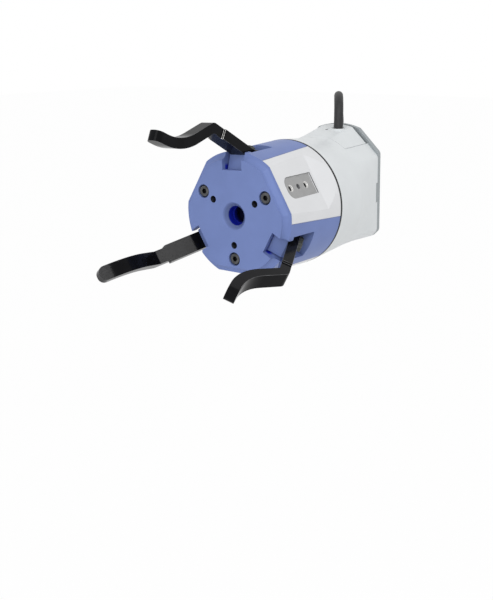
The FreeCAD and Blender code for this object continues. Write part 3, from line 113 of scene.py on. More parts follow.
def vary_roughness(finish, pattern, low, high):
    """Lets the roughness go from low to high with a pattern."""
    tree = finish.node_tree
    span = tree.nodes.new("ShaderNodeMapRange")
    span.inputs["From Min"].default_value = GRAIN_LOW
    span.inputs["From Max"].default_value = GRAIN_HIGH
    span.inputs["To Min"].default_value = low
    span.inputs["To Max"].default_value = high
    tree.links.new(pattern, span.inputs["Value"])
    tree.links.new(span.outputs["Result"], tree.nodes["Principled BSDF"].inputs["Roughness"])


def shaded(colour, share):
    """A colour made darker or lighter by a share."""
    return tuple(min(1.0, part * share) for part in colour)


def vary_colour(finish, pattern, colour, low, high):
    """Lets a colour go from a low to a high share of itself with a pattern."""
    tree = finish.node_tree
    ramp = tree.nodes.new("ShaderNodeValToRGB")
    stops = ramp.color_ramp.elements
    for stop, position, share in zip(stops, (GRAIN_LOW, GRAIN_HIGH), (low, high)):
        stop.position = position
        stop.color = (*shaded(colour, share), 1.0)
    tree.links.new(pattern, ramp.inputs["Fac"])
    tree.links.new(ramp.outputs["Color"], tree.nodes["Principled BSDF"].inputs["Base Color"])


def raise_grain(finish, pattern, height, strength):
    """Lets a pattern stand out of the surface."""
    tree = finish.node_tree
    bump = tree.nodes.new("ShaderNodeBump")
    bump.inputs["Distance"].default_value = height
    bump.inputs["Strength"].default_value = strength
    tree.links.new(pattern, bump.inputs["Height"])
    tree.links.new(bump.outputs["Normal"], tree.nodes["Principled BSDF"].inputs["Normal"])


PLATE_GREY = (0.34, 0.37, 0.385)
milled_aluminium = new_finish("milled_aluminium", PLATE_GREY, roughness=0.42, metallic=0.5)
cutter_lines = grain(milled_aluminium, per_metre=1400, stretch=(0.06, 1, 1))
vary_roughness(milled_aluminium, cutter_lines, low=0.38, high=0.5)
vary_colour(milled_aluminium, grain(milled_aluminium, per_metre=240), PLATE_GREY, low=0.96, high=1.04)
raise_grain(milled_aluminium, cutter_lines, height=0.00002, strength=0.1)


def put_in_scene(name, shape):
    """A new piece, at the origin."""
    piece = bpy.data.objects.new(name, shape)
    bpy.context.scene.collection.objects.link(piece)
    return piece


def as_plain_mesh(piece):
    """Turns a piece's modifiers into its mesh."""
    bpy.context.view_layer.update()
    made = piece.evaluated_get(bpy.context.evaluated_depsgraph_get())
    mesh = bpy.data.meshes.new_from_object(made)
    piece.modifiers.clear()
    piece.data = mesh
    return mesh


SHARP_FROM = 28


def smooth(mesh, sharp_from=SHARP_FROM):
    """Shades a mesh smooth, but for edges that turn by more than an angle in degrees."""
    mesh.shade_smooth()
    mesh.set_sharp_from_angle(angle=math.radians(sharp_from))


def stand_for(piece, node):
    """Sets a finished piece in a solid's place, on the same body, and hides the solid."""
    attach(piece, frame["nodes"][node]["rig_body"])
    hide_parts(node)


WELD_WITHIN = 2e-6
FLAT_WITHIN = math.radians(0.05)
BROKEN_FROM = math.radians(30)


def eased(node, name, width, finish, edge_finish=None, segments=2, sharp_from=SHARP_FROM, left_sharp=None):
    """A copy of a solid with its sharp edges broken and its large faces shaded as flat ones are.

    Edges within left_sharp, a place and a radius, aren't broken.
    """
    shape = bmesh.new()
    shape.from_mesh(frame["nodes"][node].data)
    bmesh.ops.remove_doubles(shape, verts=shape.verts, dist=WELD_WITHIN)
    bmesh.ops.dissolve_limit(shape, angle_limit=FLAT_WITHIN, verts=shape.verts, edges=shape.edges)
    share = shape.edges.layers.float.new("bevel_weight_edge")
    for edge in shape.edges:
        near = left_sharp and all((end.co - left_sharp[0]).length < left_sharp[1] for end in edge.verts)
        edge[share] = edge.is_manifold and edge.calc_face_angle() > BROKEN_FROM and not near
    mesh = bpy.data.meshes.new(name)
    shape.to_mesh(mesh)
    shape.free()
    mesh.materials.clear()
    mesh.materials.append(finish)
    mesh.polygons.foreach_set("material_index", [0] * len(mesh.polygons))
    piece = put_in_scene(name, mesh)
    bevel = piece.modifiers.new("broken_edge", "BEVEL")
    bevel.width = width
    bevel.segments = segments
    bevel.limit_method = "WEIGHT"
    if edge_finish:
        mesh.materials.append(edge_finish)
        bevel.material = 1
    smooth(as_plain_mesh(piece), sharp_from)
    even = piece.modifiers.new("flat_faces_first", "WEIGHTED_NORMAL")
    even.keep_sharp = True
    as_plain_mesh(piece)
    stand_for(piece, node)
    return piece


PLATE_EDGE = 0.0005
eased("rear_plate", "wrist_plate", PLATE_EDGE, milled_aluminium)

# Drive: motor, ball bearings, drive screw and boards, pressed or screwed in and closed in by the housing.
# They are turned steel, iron laminations, bronze for what slides, and green lacquered boards.

STEEL = (0.42, 0.42, 0.43)
turned_steel = new_finish("turned_steel", STEEL, roughness=0.3, metallic=1.0)
turning_marks = grain(turned_steel, per_metre=1400, stretch=(1, 0.15, 1))
vary_roughness(turned_steel, turning_marks, low=0.22, high=0.4)
raise_grain(turned_steel, turning_marks, height=0.00003, strength=0.2)

IRON = (0.11, 0.11, 0.115)
laminated_iron = new_finish("laminated_iron", IRON, roughness=0.55, metallic=0.7)
laminations = grain(laminated_iron, per_metre=2000, stretch=(0.02, 1, 0.02), detail=1.0)
vary_colour(laminated_iron, laminations, IRON, low=0.7, high=1.25)
raise_grain(laminated_iron, laminations, height=0.00008, strength=0.4)

BRONZE = (0.42, 0.27, 0.10)
sliding_bronze = new_finish("sliding_bronze", BRONZE, roughness=0.34, metallic=1.0)
bronze_marks = grain(sliding_bronze, per_metre=1200, stretch=(1, 0.2, 1))
vary_roughness(sliding_bronze, bronze_marks, low=0.26, high=0.44)
vary_colour(sliding_bronze, grain(sliding_bronze, per_metre=200), BRONZE, low=0.85, high=1.1)

LACQUER = (0.012, 0.09, 0.04)
board_lacquer = new_finish("board_lacquer", LACQUER, roughness=0.3)
vary_colour(board_lacquer, grain(board_lacquer, per_metre=700, detail=1.0), LACQUER, low=0.8, high=1.5)

BLACK_PLASTIC = (0.012, 0.012, 0.014)
moulded_black = new_finish("moulded_black", BLACK_PLASTIC, roughness=0.45)
fine_mould_grain = grain(moulded_black, per_metre=2600)
vary_roughness(moulded_black, fine_mould_grain, low=0.38, high=0.56)
raise_grain(moulded_black, fine_mould_grain, height=0.00005, strength=0.3)


def dress(node, finish):
    """Gives a solid that stays as it is its finish."""
    mesh = frame["nodes"][node].data
    mesh.materials.clear()
    mesh.materials.append(finish)


for finish, nodes in (
    (turned_steel, (
        "drive_screw", "front_bearing_inner", "front_bearing_outer", "front_bearing_balls",
        "rear_bearing_inner", "rear_bearing_outer", "rear_bearing_balls", "motor_can", "board_posts",
        "bulkhead_screws", "guide_key", "pivot_pin_top", "pivot_pin_left", "pivot_pin_right",
    )),
    (laminated_iron, ("stator", "rotor", "encoder_magnet")),
    (sliding_bronze, ("rack_nut", "guide_bush")),
    (milled_aluminium, ("bulkhead", "motor_end_cap", "board_brackets")),
    (board_lacquer, ("encoder_board", "control_board")),
    (moulded_black, ("cable_header",)),
):
    for node in nodes:
        dress(node, finish)

# Rear housing and top cover: thin mouldings in off-white plastic with a fine sprayed texture.
# The cover is let into the top of the housing, with a narrow seam all round.
# A small smoked window in it covers a lamp.

HOUSING_WHITE = (0.76, 0.79, 0.805)
housing_white = new_finish("housing_white", HOUSING_WHITE, roughness=0.4)
spray = grain(housing_white, per_metre=1500)
vary_roughness(housing_white, spray, low=0.34, high=0.48)
vary_colour(housing_white, grain(housing_white, per_metre=60), HOUSING_WHITE, low=0.975, high=1.015)
raise_grain(housing_white, spray, height=0.00003, strength=0.25)

# A broken edge would fold over itself inside the shell and at the gland's hole, so those stay sharp.
SHELL_EDGE, COVER_EDGE = 0.0003, 0.00035
SHELL_INSIDE = (Vector((0, -0.03, 0)), 0.0397)
GLAND_HOLE = (Vector((0.006, -0.014, 0.0418)), 0.0068)
eased("rear_housing", "housing_shell", SHELL_EDGE, housing_white, left_sharp=SHELL_INSIDE)
cover = eased("top_cover", "housing_cover", COVER_EDGE, housing_white, left_sharp=GLAND_HOLE)


def surface_at(piece, start, way):
    """Where a line from outside first meets a piece."""
    met, place, _, _ = piece.ray_cast(Vector(start), Vector(way))
    if not met:
        raise ValueError(f"{piece.name} is not in the way")
    return place


def bar(name, middle, sides, ways, rounding, finish):
    """A bar with rounded edges: its middle, its three sides and the ways that they run."""
    shape = bmesh.new()
    bmesh.ops.create_cube(shape, size=1.0)
    for vertex in shape.verts:
        corner = vertex.co.copy()
        vertex.co = Vector(middle)
        for part, side, way in zip(corner, sides, ways):
            vertex.co += Vector(way) * part * side
    bmesh.ops.recalc_face_normals(shape, faces=shape.faces)
    mesh = bpy.data.meshes.new(name)
    shape.to_mesh(mesh)
    shape.free()
    mesh.materials.append(finish)
    piece = put_in_scene(name, mesh)
    bevel = piece.modifiers.new("rounding", "BEVEL")
    bevel.width = rounding
    bevel.segments = 3
    smooth(as_plain_mesh(piece))
    return piece


WELL_OUTSIDE = 0.1
LIGHT_Y, BESIDE_LIGHT_X = -0.018, 0.0016
LIGHT_SIDES = (0.0018, 0.0034, 0.0014)
LIGHT_SUNK, LIGHT_ROUNDING = 0.0001, 0.0003
beside_light = surface_at(cover, (BESIDE_LIGHT_X, LIGHT_Y, WELL_OUTSIDE), (0, 0, -1))
light_middle = (0, LIGHT_Y, beside_light.z - LIGHT_SUNK - LIGHT_SIDES[2] / 2)
light_window = bar(
    "status_window", light_middle, LIGHT_SIDES, Matrix.Identity(3), LIGHT_ROUNDING, moulded_black,
)
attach(light_window, "base")

# Seam gasket: a ring of dark rubber, pressed between nose and housing until its lip fills the seam.
# It shows as a thin dark line round the body.

# This dark rubber finish also colours the strip of painted shadow in the pad window's slit.
RUBBER_AND_SHADOW_BLACK = (0.012, 0.012, 0.014)
gasket_rubber_and_painted_shadow = new_finish("gasket_rubber_and_painted_shadow", RUBBER_AND_SHADOW_BLACK, roughness=0.7)
rubber_bloom = grain(gasket_rubber_and_painted_shadow, per_metre=900)
vary_roughness(gasket_rubber_and_painted_shadow, rubber_bloom, low=0.6, high=0.82)
vary_colour(gasket_rubber_and_painted_shadow, rubber_bloom, RUBBER_AND_SHADOW_BLACK, low=0.8, high=1.3)
raise_grain(gasket_rubber_and_painted_shadow, rubber_bloom, height=0.00006, strength=0.3)


def turned_ring(name, section, steps, finish):
    """A ring round the gripper's axis, from its section as pairs of radius and place along the axis."""
    shape = bmesh.new()
    corners = [shape.verts.new((radius, y, 0)) for radius, y in section]
    rim = [shape.edges.new(pair) for pair in zip(corners, corners[1:] + corners[:1])]
    bmesh.ops.spin(
        shape, geom=corners + rim, axis=(0, 1, 0), cent=(0, 0, 0), steps=steps, angle=math.tau,
        use_merge=True,
    )
    bmesh.ops.remove_doubles(shape, verts=shape.verts, dist=1e-6)
    bmesh.ops.recalc_face_normals(shape, faces=shape.faces)
    mesh = bpy.data.meshes.new(name)
    shape.to_mesh(mesh)
    shape.free()
    mesh.materials.append(finish)
    smooth(mesh, sharp_from=40)
    return put_in_scene(name, mesh)


gasket_low, gasket_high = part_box("seam_gasket")
SEAM_FRONT, SEAM_REAR = gasket_low[1], gasket_high[1]
GASKET_INNER, GASKET_WAIST, GASKET_LIP = 0.0369, 0.0397, 0.04003
LIP_SPREAD, LIP_ROUND = 0.00058, 0.00012
LIP_FRONT, LIP_REAR = SEAM_FRONT - LIP_SPREAD, SEAM_REAR + LIP_SPREAD
gasket = turned_ring("seam_rubber", (
    (GASKET_INNER, SEAM_FRONT), (GASKET_WAIST, SEAM_FRONT),
    (GASKET_LIP - LIP_ROUND, LIP_FRONT), (GASKET_LIP, LIP_FRONT + LIP_ROUND),
    (GASKET_LIP, LIP_REAR - LIP_ROUND), (GASKET_LIP - LIP_ROUND, LIP_REAR),
    (GASKET_WAIST, SEAM_REAR), (GASKET_INNER, SEAM_REAR),
), steps=192, finish=gasket_rubber_and_painted_shadow)
stand_for(gasket, "seam_gasket")

# Nose: one block of aluminium, turned, milled with flats and finger slots, and anodised in a soft blue.
# It is blasted first, which leaves a fine even grain, and its edges catch the light.
# Shade is painted into its colour: darker at the mouth of the bore, deep blue in the slots and the bore, and
# near black deep in the bore.


def set_gloss(finish, level):
    """Sets how strongly a finish mirrors."""
    finish.node_tree.nodes["Principled BSDF"].inputs["Specular IOR Level"].default_value = level


NOSE_BLUE = (0.182, 0.246, 0.517)
blue_anodising = new_finish("blue_anodising", NOSE_BLUE, roughness=0.42, metallic=0.06)
set_gloss(blue_anodising, 0.15)
blasting = grain(blue_anodising, per_metre=3200, detail=2.0)
vary_roughness(blue_anodising, blasting, low=0.36, high=0.48)
vary_colour(blue_anodising, grain(blue_anodising, per_metre=90), NOSE_BLUE, low=0.965, high=1.03)
raise_grain(blue_anodising, blasting, height=0.00002, strength=0.15)


def add_node(tree, kind, **settings):
    """A new node in a tree, with its settings."""
    node = tree.nodes.new(kind)
    for key, value in settings.items():
        setattr(node, key, value)
    return node


def feed(tree, sockets, items):
    """Sets each socket to a number, or links it to what another node gives."""
    for socket, item in zip(sockets, items):
        if isinstance(item, (int, float)):
            socket.default_value = item
        else:
            tree.links.new(item, socket)


def arithmetic(tree, operation, first, second):
    """The result of a sum on two numbers or sockets."""
    node = add_node(tree, "ShaderNodeMath", operation=operation)
    feed(tree, node.inputs, (first, second))
    return node.outputs["Value"]


def joined_vector(tree, x, y, z):
    """A vector from its three parts."""
    node = add_node(tree, "ShaderNodeCombineXYZ")
    feed(tree, node.inputs, (x, y, z))
    return node.outputs["Vector"]


def between(tree, value, start, end):
    """A share that goes from 0 to 1 as a value goes from start to end."""
    share = add_node(tree, "ShaderNodeMapRange")
    share.inputs["From Min"].default_value = start
    share.inputs["From Max"].default_value = end
    tree.links.new(value, share.inputs["Value"])
    return share.outputs["Result"]


def round_place(tree):
    """The radius and the station of each point, round and along the gripper's axis."""
    place = add_node(tree, "ShaderNodeTexCoord")
    parts = add_node(tree, "ShaderNodeSeparateXYZ")
    tree.links.new(place.outputs["Object"], parts.inputs["Vector"])
    across = joined_vector(tree, parts.outputs["X"], 0, parts.outputs["Z"])
    radius = add_node(tree, "ShaderNodeVectorMath", operation="LENGTH")
    tree.links.new(across, radius.inputs[0])
    return radius.outputs["Value"], parts.outputs["Y"]


def mix_in(finish, colour, first_share, second_share):
    """Changes a finish to another colour by the product of two shares."""
    tree = finish.node_tree
    base = tree.nodes["Principled BSDF"].inputs["Base Color"]
    mixed = add_node(tree, "ShaderNodeMix", data_type="RGBA")
    tree.links.new(arithmetic(tree, "MULTIPLY", first_share, second_share), mixed.inputs["Factor"])
    tree.links.new(base.links[0].from_socket, mixed.inputs["A"])
    mixed.inputs["B"].default_value = (*colour, 1.0)
    tree.links.new(mixed.outputs["Result"], base)


FRONT_FACE = -0.123


def paint_shade_within(finish, colour, radii, depths):
    """Paints shade into a finish as another colour near the gripper's axis and behind the front face.

    The share grows as the radius falls from the first of radii to the second, and as the depth grows.
    """
    tree = finish.node_tree
    radius, station = round_place(tree)
    deep = between(tree, station, *(FRONT_FACE + depth for depth in depths))
    mix_in(finish, colour, between(tree, radius, *radii), deep)


nose_anodising_painted_shade = blue_anodising.copy()
nose_anodising_painted_shade.name = "nose_anodising_painted_shade"
# Painted shade: a darker ring at the bore's mouth, deep blue in the slots and the bore, near black deep in
# the bore.
MOUTH_PAINTED_SHADE = shaded(NOSE_BLUE, 0.66)
DEEP_PAINTED_SHADE = (0.010, 0.022, 0.44)
BORE_PAINTED_SHADOW = (0.002, 0.003, 0.022)
BORE_RADII, SLOT_RADII = (0.0090, 0.0080), (0.0318, 0.030)
paint_shade_within(nose_anodising_painted_shade, MOUTH_PAINTED_SHADE, BORE_RADII, depths=(0, 0.0012))
paint_shade_within(nose_anodising_painted_shade, DEEP_PAINTED_SHADE, SLOT_RADII, depths=(0.0024, 0.0034))
paint_shade_within(nose_anodising_painted_shade, BORE_PAINTED_SHADOW, BORE_RADII, depths=(0.005, 0.0105))
NOSE_EDGE = 0.00025
# One corner of the right slot stays sharp, because its broken edges would cross.
SLOT_CORNER = (Vector((0.0259, -0.1224, -0.0221)), 0.0012)
eased("nose_housing", "nose_body", NOSE_EDGE, nose_anodising_painted_shade, left_sharp=SLOT_CORNER)

# Side panels: white plastic covers, set on the three flats of the nose flush with its round body.
# The one on the right has a window for a bare metal pad that takes a bracket.
# A light lip and a dark strip in the rubber finish close the window's rear end; the dark strip is painted
# shadow in the slit.

PANEL_WHITE = (0.755, 0.763, 0.78)
panel_white = new_finish("panel_white", PANEL_WHITE, roughness=0.34)
panel_texture = grain(panel_white, per_metre=1700)
vary_roughness(panel_white, panel_texture, low=0.28, high=0.42)
vary_colour(panel_white, grain(panel_white, per_metre=70), PANEL_WHITE, low=0.98, high=1.015)
raise_grain(panel_white, panel_texture, height=0.00003, strength=0.2)
PANEL_EDGE, PANEL_CREASE = 0.0002, 12
panels = {
    side: eased(
        f"side_panel_{side}", f"flat_cover_{side}", PANEL_EDGE, panel_white, sharp_from=PANEL_CREASE,
    )
    for side in ("upper_right", "upper_left", "bottom")
}

PAD_GREY = (0.36, 0.36, 0.36)
blasted_pad = new_finish("blasted_pad", PAD_GREY, roughness=0.45, metallic=0.4)
pad_grain = grain(blasted_pad, per_metre=2400)
vary_roughness(blasted_pad, pad_grain, low=0.38, high=0.55)
vary_colour(blasted_pad, grain(blasted_pad, per_metre=300), PAD_GREY, low=0.94, high=1.05)
raise_grain(blasted_pad, pad_grain, height=0.00003, strength=0.25)
PAD_EDGE = 0.0003
eased("mounting_pad", "bracket_pad", PAD_EDGE, blasted_pad)

PAD_ANGLE = math.radians(30)
PAD_OUT = Vector((math.cos(PAD_ANGLE), 0, math.sin(PAD_ANGLE)))
PAD_UP = Vector((-math.sin(PAD_ANGLE), 0, math.cos(PAD_ANGLE)))
TO_REAR = Vector((0, 1, 0))
PAD_REAR, WINDOW_REAR = FRONT_FACE + 0.0393, FRONT_FACE + 0.0402
BEHIND_WINDOW = 0.0005
above_panel = PAD_OUT * WELL_OUTSIDE + TO_REAR * (WINDOW_REAR + BEHIND_WINDOW)
panel_top = surface_at(panels["upper_right"], above_panel, -PAD_OUT).dot(PAD_OUT)
SHADOW_STRIP_WIDTH, STRIP_PLAY = 0.0006, 0.00005
LIP_WIDTH = WINDOW_REAR - PAD_REAR - SHADOW_STRIP_WIDTH - 2 * STRIP_PLAY
LIP_MIDDLE = PAD_REAR + STRIP_PLAY + LIP_WIDTH / 2
SHADOW_STRIP_MIDDLE = WINDOW_REAR - STRIP_PLAY - SHADOW_STRIP_WIDTH / 2
LIP_SUNK, SHADOW_STRIP_SUNK = 0.0003, 0.0002
STRIP_HEIGHT, STRIP_DEPTH, STRIP_ROUNDING = 0.0134, 0.0016, 0.0001
# The second strip is painted shadow: a dark bar in the slit, where there is only shade.
for name, middle, width, sunk, finish, slot in (
    ("window_lip", LIP_MIDDLE, LIP_WIDTH, LIP_SUNK, panel_white, "white_panel"),
    ("window_slit_painted_shadow", SHADOW_STRIP_MIDDLE, SHADOW_STRIP_WIDTH, SHADOW_STRIP_SUNK, gasket_rubber_and_painted_shadow, "dark_rubber"),
):
    strip = bar(
        name, PAD_OUT * (panel_top - sunk - STRIP_DEPTH / 2) + TO_REAR * middle,
        (width, STRIP_HEIGHT, STRIP_DEPTH), (TO_REAR, PAD_UP, PAD_OUT), STRIP_ROUNDING, finish,
    )
    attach(strip, "base")

# Finger levers: blue anodised blocks that turn on the pivot pins inside the slots.
# Each carries a toothed sector inside and the finger's seat outside.

FINGER_ANGLES = {"top": 92, "left": 212, "right": 332}
LEVER_EDGE = 0.0002
for finger in FINGER_ANGLES:
    eased(f"finger_lever_{finger}", f"lever_{finger}", LEVER_EDGE, blue_anodising)

# Fingers: bent bars of aluminium, anodised black and screwed to the levers, with small brighter chamfers.
# The bars narrow at a step, bow inwards at the belly and turn out at the tip.
# On the top finger the chamfer at the step has a painted highlight.

FINGER_BLACK = (0.0045, 0.0045, 0.0055)
black_anodising = new_finish("black_anodising", FINGER_BLACK, roughness=0.13)
set_gloss(black_anodising, 0.06)
drawn_lines = grain(black_anodising, per_metre=1500, stretch=(1, 0.12, 1))
vary_roughness(black_anodising, drawn_lines, low=0.1, high=0.17)
vary_colour(black_anodising, grain(black_anodising, per_metre=120), FINGER_BLACK, low=0.8, high=1.5)
raise_grain(black_anodising, drawn_lines, height=0.00001, strength=0.05)
# The chamfers' lighter grey is partly rubbed edges and partly painted sheen for the edge highlights.
CHAMFER_GREY = (0.15, 0.15, 0.157)
rubbed_chamfer_and_painted_sheen = new_finish("rubbed_chamfer_and_painted_sheen", CHAMFER_GREY, roughness=0.3, metallic=0.8)
vary_roughness(rubbed_chamfer_and_painted_sheen, grain(rubbed_chamfer_and_painted_sheen, per_metre=800), low=0.22, high=0.42)
vary_colour(rubbed_chamfer_and_painted_sheen, grain(rubbed_chamfer_and_painted_sheen, per_metre=260), CHAMFER_GREY, low=0.45, high=1.3)

PIVOT = Vector((0, FRONT_FACE + 0.016, 0.0252))
ARM_LEAN = math.radians(28.7)
ALONG_ARM = Vector((0, -math.cos(ARM_LEAN), math.sin(ARM_LEAN)))
OFF_ARM = Vector((0, math.sin(ARM_LEAN), math.cos(ARM_LEAN)))
STEP_ALONG = 0.0364
# The colour of the painted highlight on the top finger's step.
STEP_HIGHLIGHT = (0.86, 0.85, 0.82)


def paint_highlight_at_step(finish, reach, fade):
    """Paints a highlight into a finish within a reach of the step in the fingers' width."""
    tree = finish.node_tree
    radius, station = round_place(tree)
    forwards = arithmetic(tree, "MULTIPLY", arithmetic(tree, "SUBTRACT", station, PIVOT.y), ALONG_ARM.y)
    outwards = arithmetic(tree, "MULTIPLY", arithmetic(tree, "SUBTRACT", radius, PIVOT.z), ALONG_ARM.z)
    along = arithmetic(tree, "ADD", forwards, outwards)
    after = between(tree, along, STEP_ALONG - reach - fade, STEP_ALONG - reach)
    before = between(tree, along, STEP_ALONG + reach + fade, STEP_ALONG + reach)
    mix_in(finish, STEP_HIGHLIGHT, after, before)


chamfer_with_painted_highlight = rubbed_chamfer_and_painted_sheen.copy()
chamfer_with_painted_highlight.name = "chamfer_with_painted_highlight"
paint_highlight_at_step(chamfer_with_painted_highlight, reach=0.0006, fade=0.0003)
CHAMFER_WIDTH = 0.00035
for finger in FINGER_ANGLES:
    chamfer = chamfer_with_painted_highlight if finger == "top" else rubbed_chamfer_and_painted_sheen
    eased(f"finger_{finger}", f"finger_bar_{finger}", CHAMFER_WIDTH, black_anodising, chamfer, segments=1)

# Screws: steel socket heads with a knurled rim. Three blackened ones sit in counterbores of the nose.
# Two phosphated ones hold each finger, and four bare ones hold the rear plate.


def tree_input(tree, name, kind, value=None):
    """A named input of a tree, with the value that it starts from."""
    socket = tree.interface.new_socket(name, in_out="INPUT", socket_type=kind)
    if value is not None:
        socket.default_value = value


def set_on_points(tree, points, shape, finish, inner_shade_finish=None):
    """Sets a shape at each point, with its Z along the point's own way, as one mesh with its finish.

    Faces marked as inner take the inner shade finish, which is painted shade.
    """
    way = add_node(tree, "GeometryNodeInputNamedAttribute", data_type="FLOAT_VECTOR")
    way.inputs["Name"].default_value = "way"
    facing = add_node(tree, "FunctionNodeAlignRotationToVector", axis="Z")
    tree.links.new(way.outputs["Attribute"], facing.inputs["Vector"])
    on_points = add_node(tree, "GeometryNodeInstanceOnPoints")
    tree.links.new(points, on_points.inputs["Points"])
    tree.links.new(shape, on_points.inputs["Instance"])
    tree.links.new(facing.outputs["Rotation"], on_points.inputs["Rotation"])
    real = add_node(tree, "GeometryNodeRealizeInstances")
    finished = add_node(tree, "GeometryNodeSetMaterial")
    tree.links.new(on_points.outputs["Instances"], real.inputs["Geometry"])
    tree.links.new(real.outputs["Geometry"], finished.inputs["Geometry"])
    tree.links.new(finish, finished.inputs["Material"])
    if inner_shade_finish is None:
        return finished.outputs["Geometry"]
    inner = add_node(tree, "GeometryNodeInputNamedAttribute", data_type="BOOLEAN")
    inner.inputs["Name"].default_value = "inner"
    socket_shade_set = add_node(tree, "GeometryNodeSetMaterial")
    tree.links.new(finished.outputs["Geometry"], socket_shade_set.inputs["Geometry"])
    tree.links.new(inner.outputs["Attribute"], socket_shade_set.inputs["Selection"])
    tree.links.new(inner_shade_finish, socket_shade_set.inputs["Material"])
    return socket_shade_set.outputs["Geometry"]


def mark_inner(tree, shape, radius, below):
    """Marks the faces nearer to the shape's own axis than a radius and lower than a height."""
    place = add_node(tree, "GeometryNodeInputPosition")
    parts = add_node(tree, "ShaderNodeSeparateXYZ")
    tree.links.new(place.outputs["Position"], parts.inputs["Vector"])
    out = add_node(tree, "ShaderNodeVectorMath", operation="LENGTH")
    tree.links.new(joined_vector(tree, parts.outputs["X"], parts.outputs["Y"], 0), out.inputs[0])
    near = arithmetic(tree, "LESS_THAN", out.outputs["Value"], radius)
    low = arithmetic(tree, "LESS_THAN", parts.outputs["Z"], below)
    mark = add_node(tree, "GeometryNodeStoreNamedAttribute", data_type="BOOLEAN", domain="FACE")
    mark.inputs["Name"].default_value = "inner"
    tree.links.new(shape, mark.inputs["Geometry"])
    tree.links.new(arithmetic(tree, "MULTIPLY", near, low), mark.inputs["Value"])
    return mark.outputs["Geometry"]


def lifted(tree, shape, height):
    """A shape moved up along its own axis."""
    moved = add_node(tree, "GeometryNodeTransform")
    tree.links.new(shape, moved.inputs["Geometry"])
    tree.links.new(joined_vector(tree, 0, 0, height), moved.inputs["Translation"])
    return moved.outputs["Geometry"]


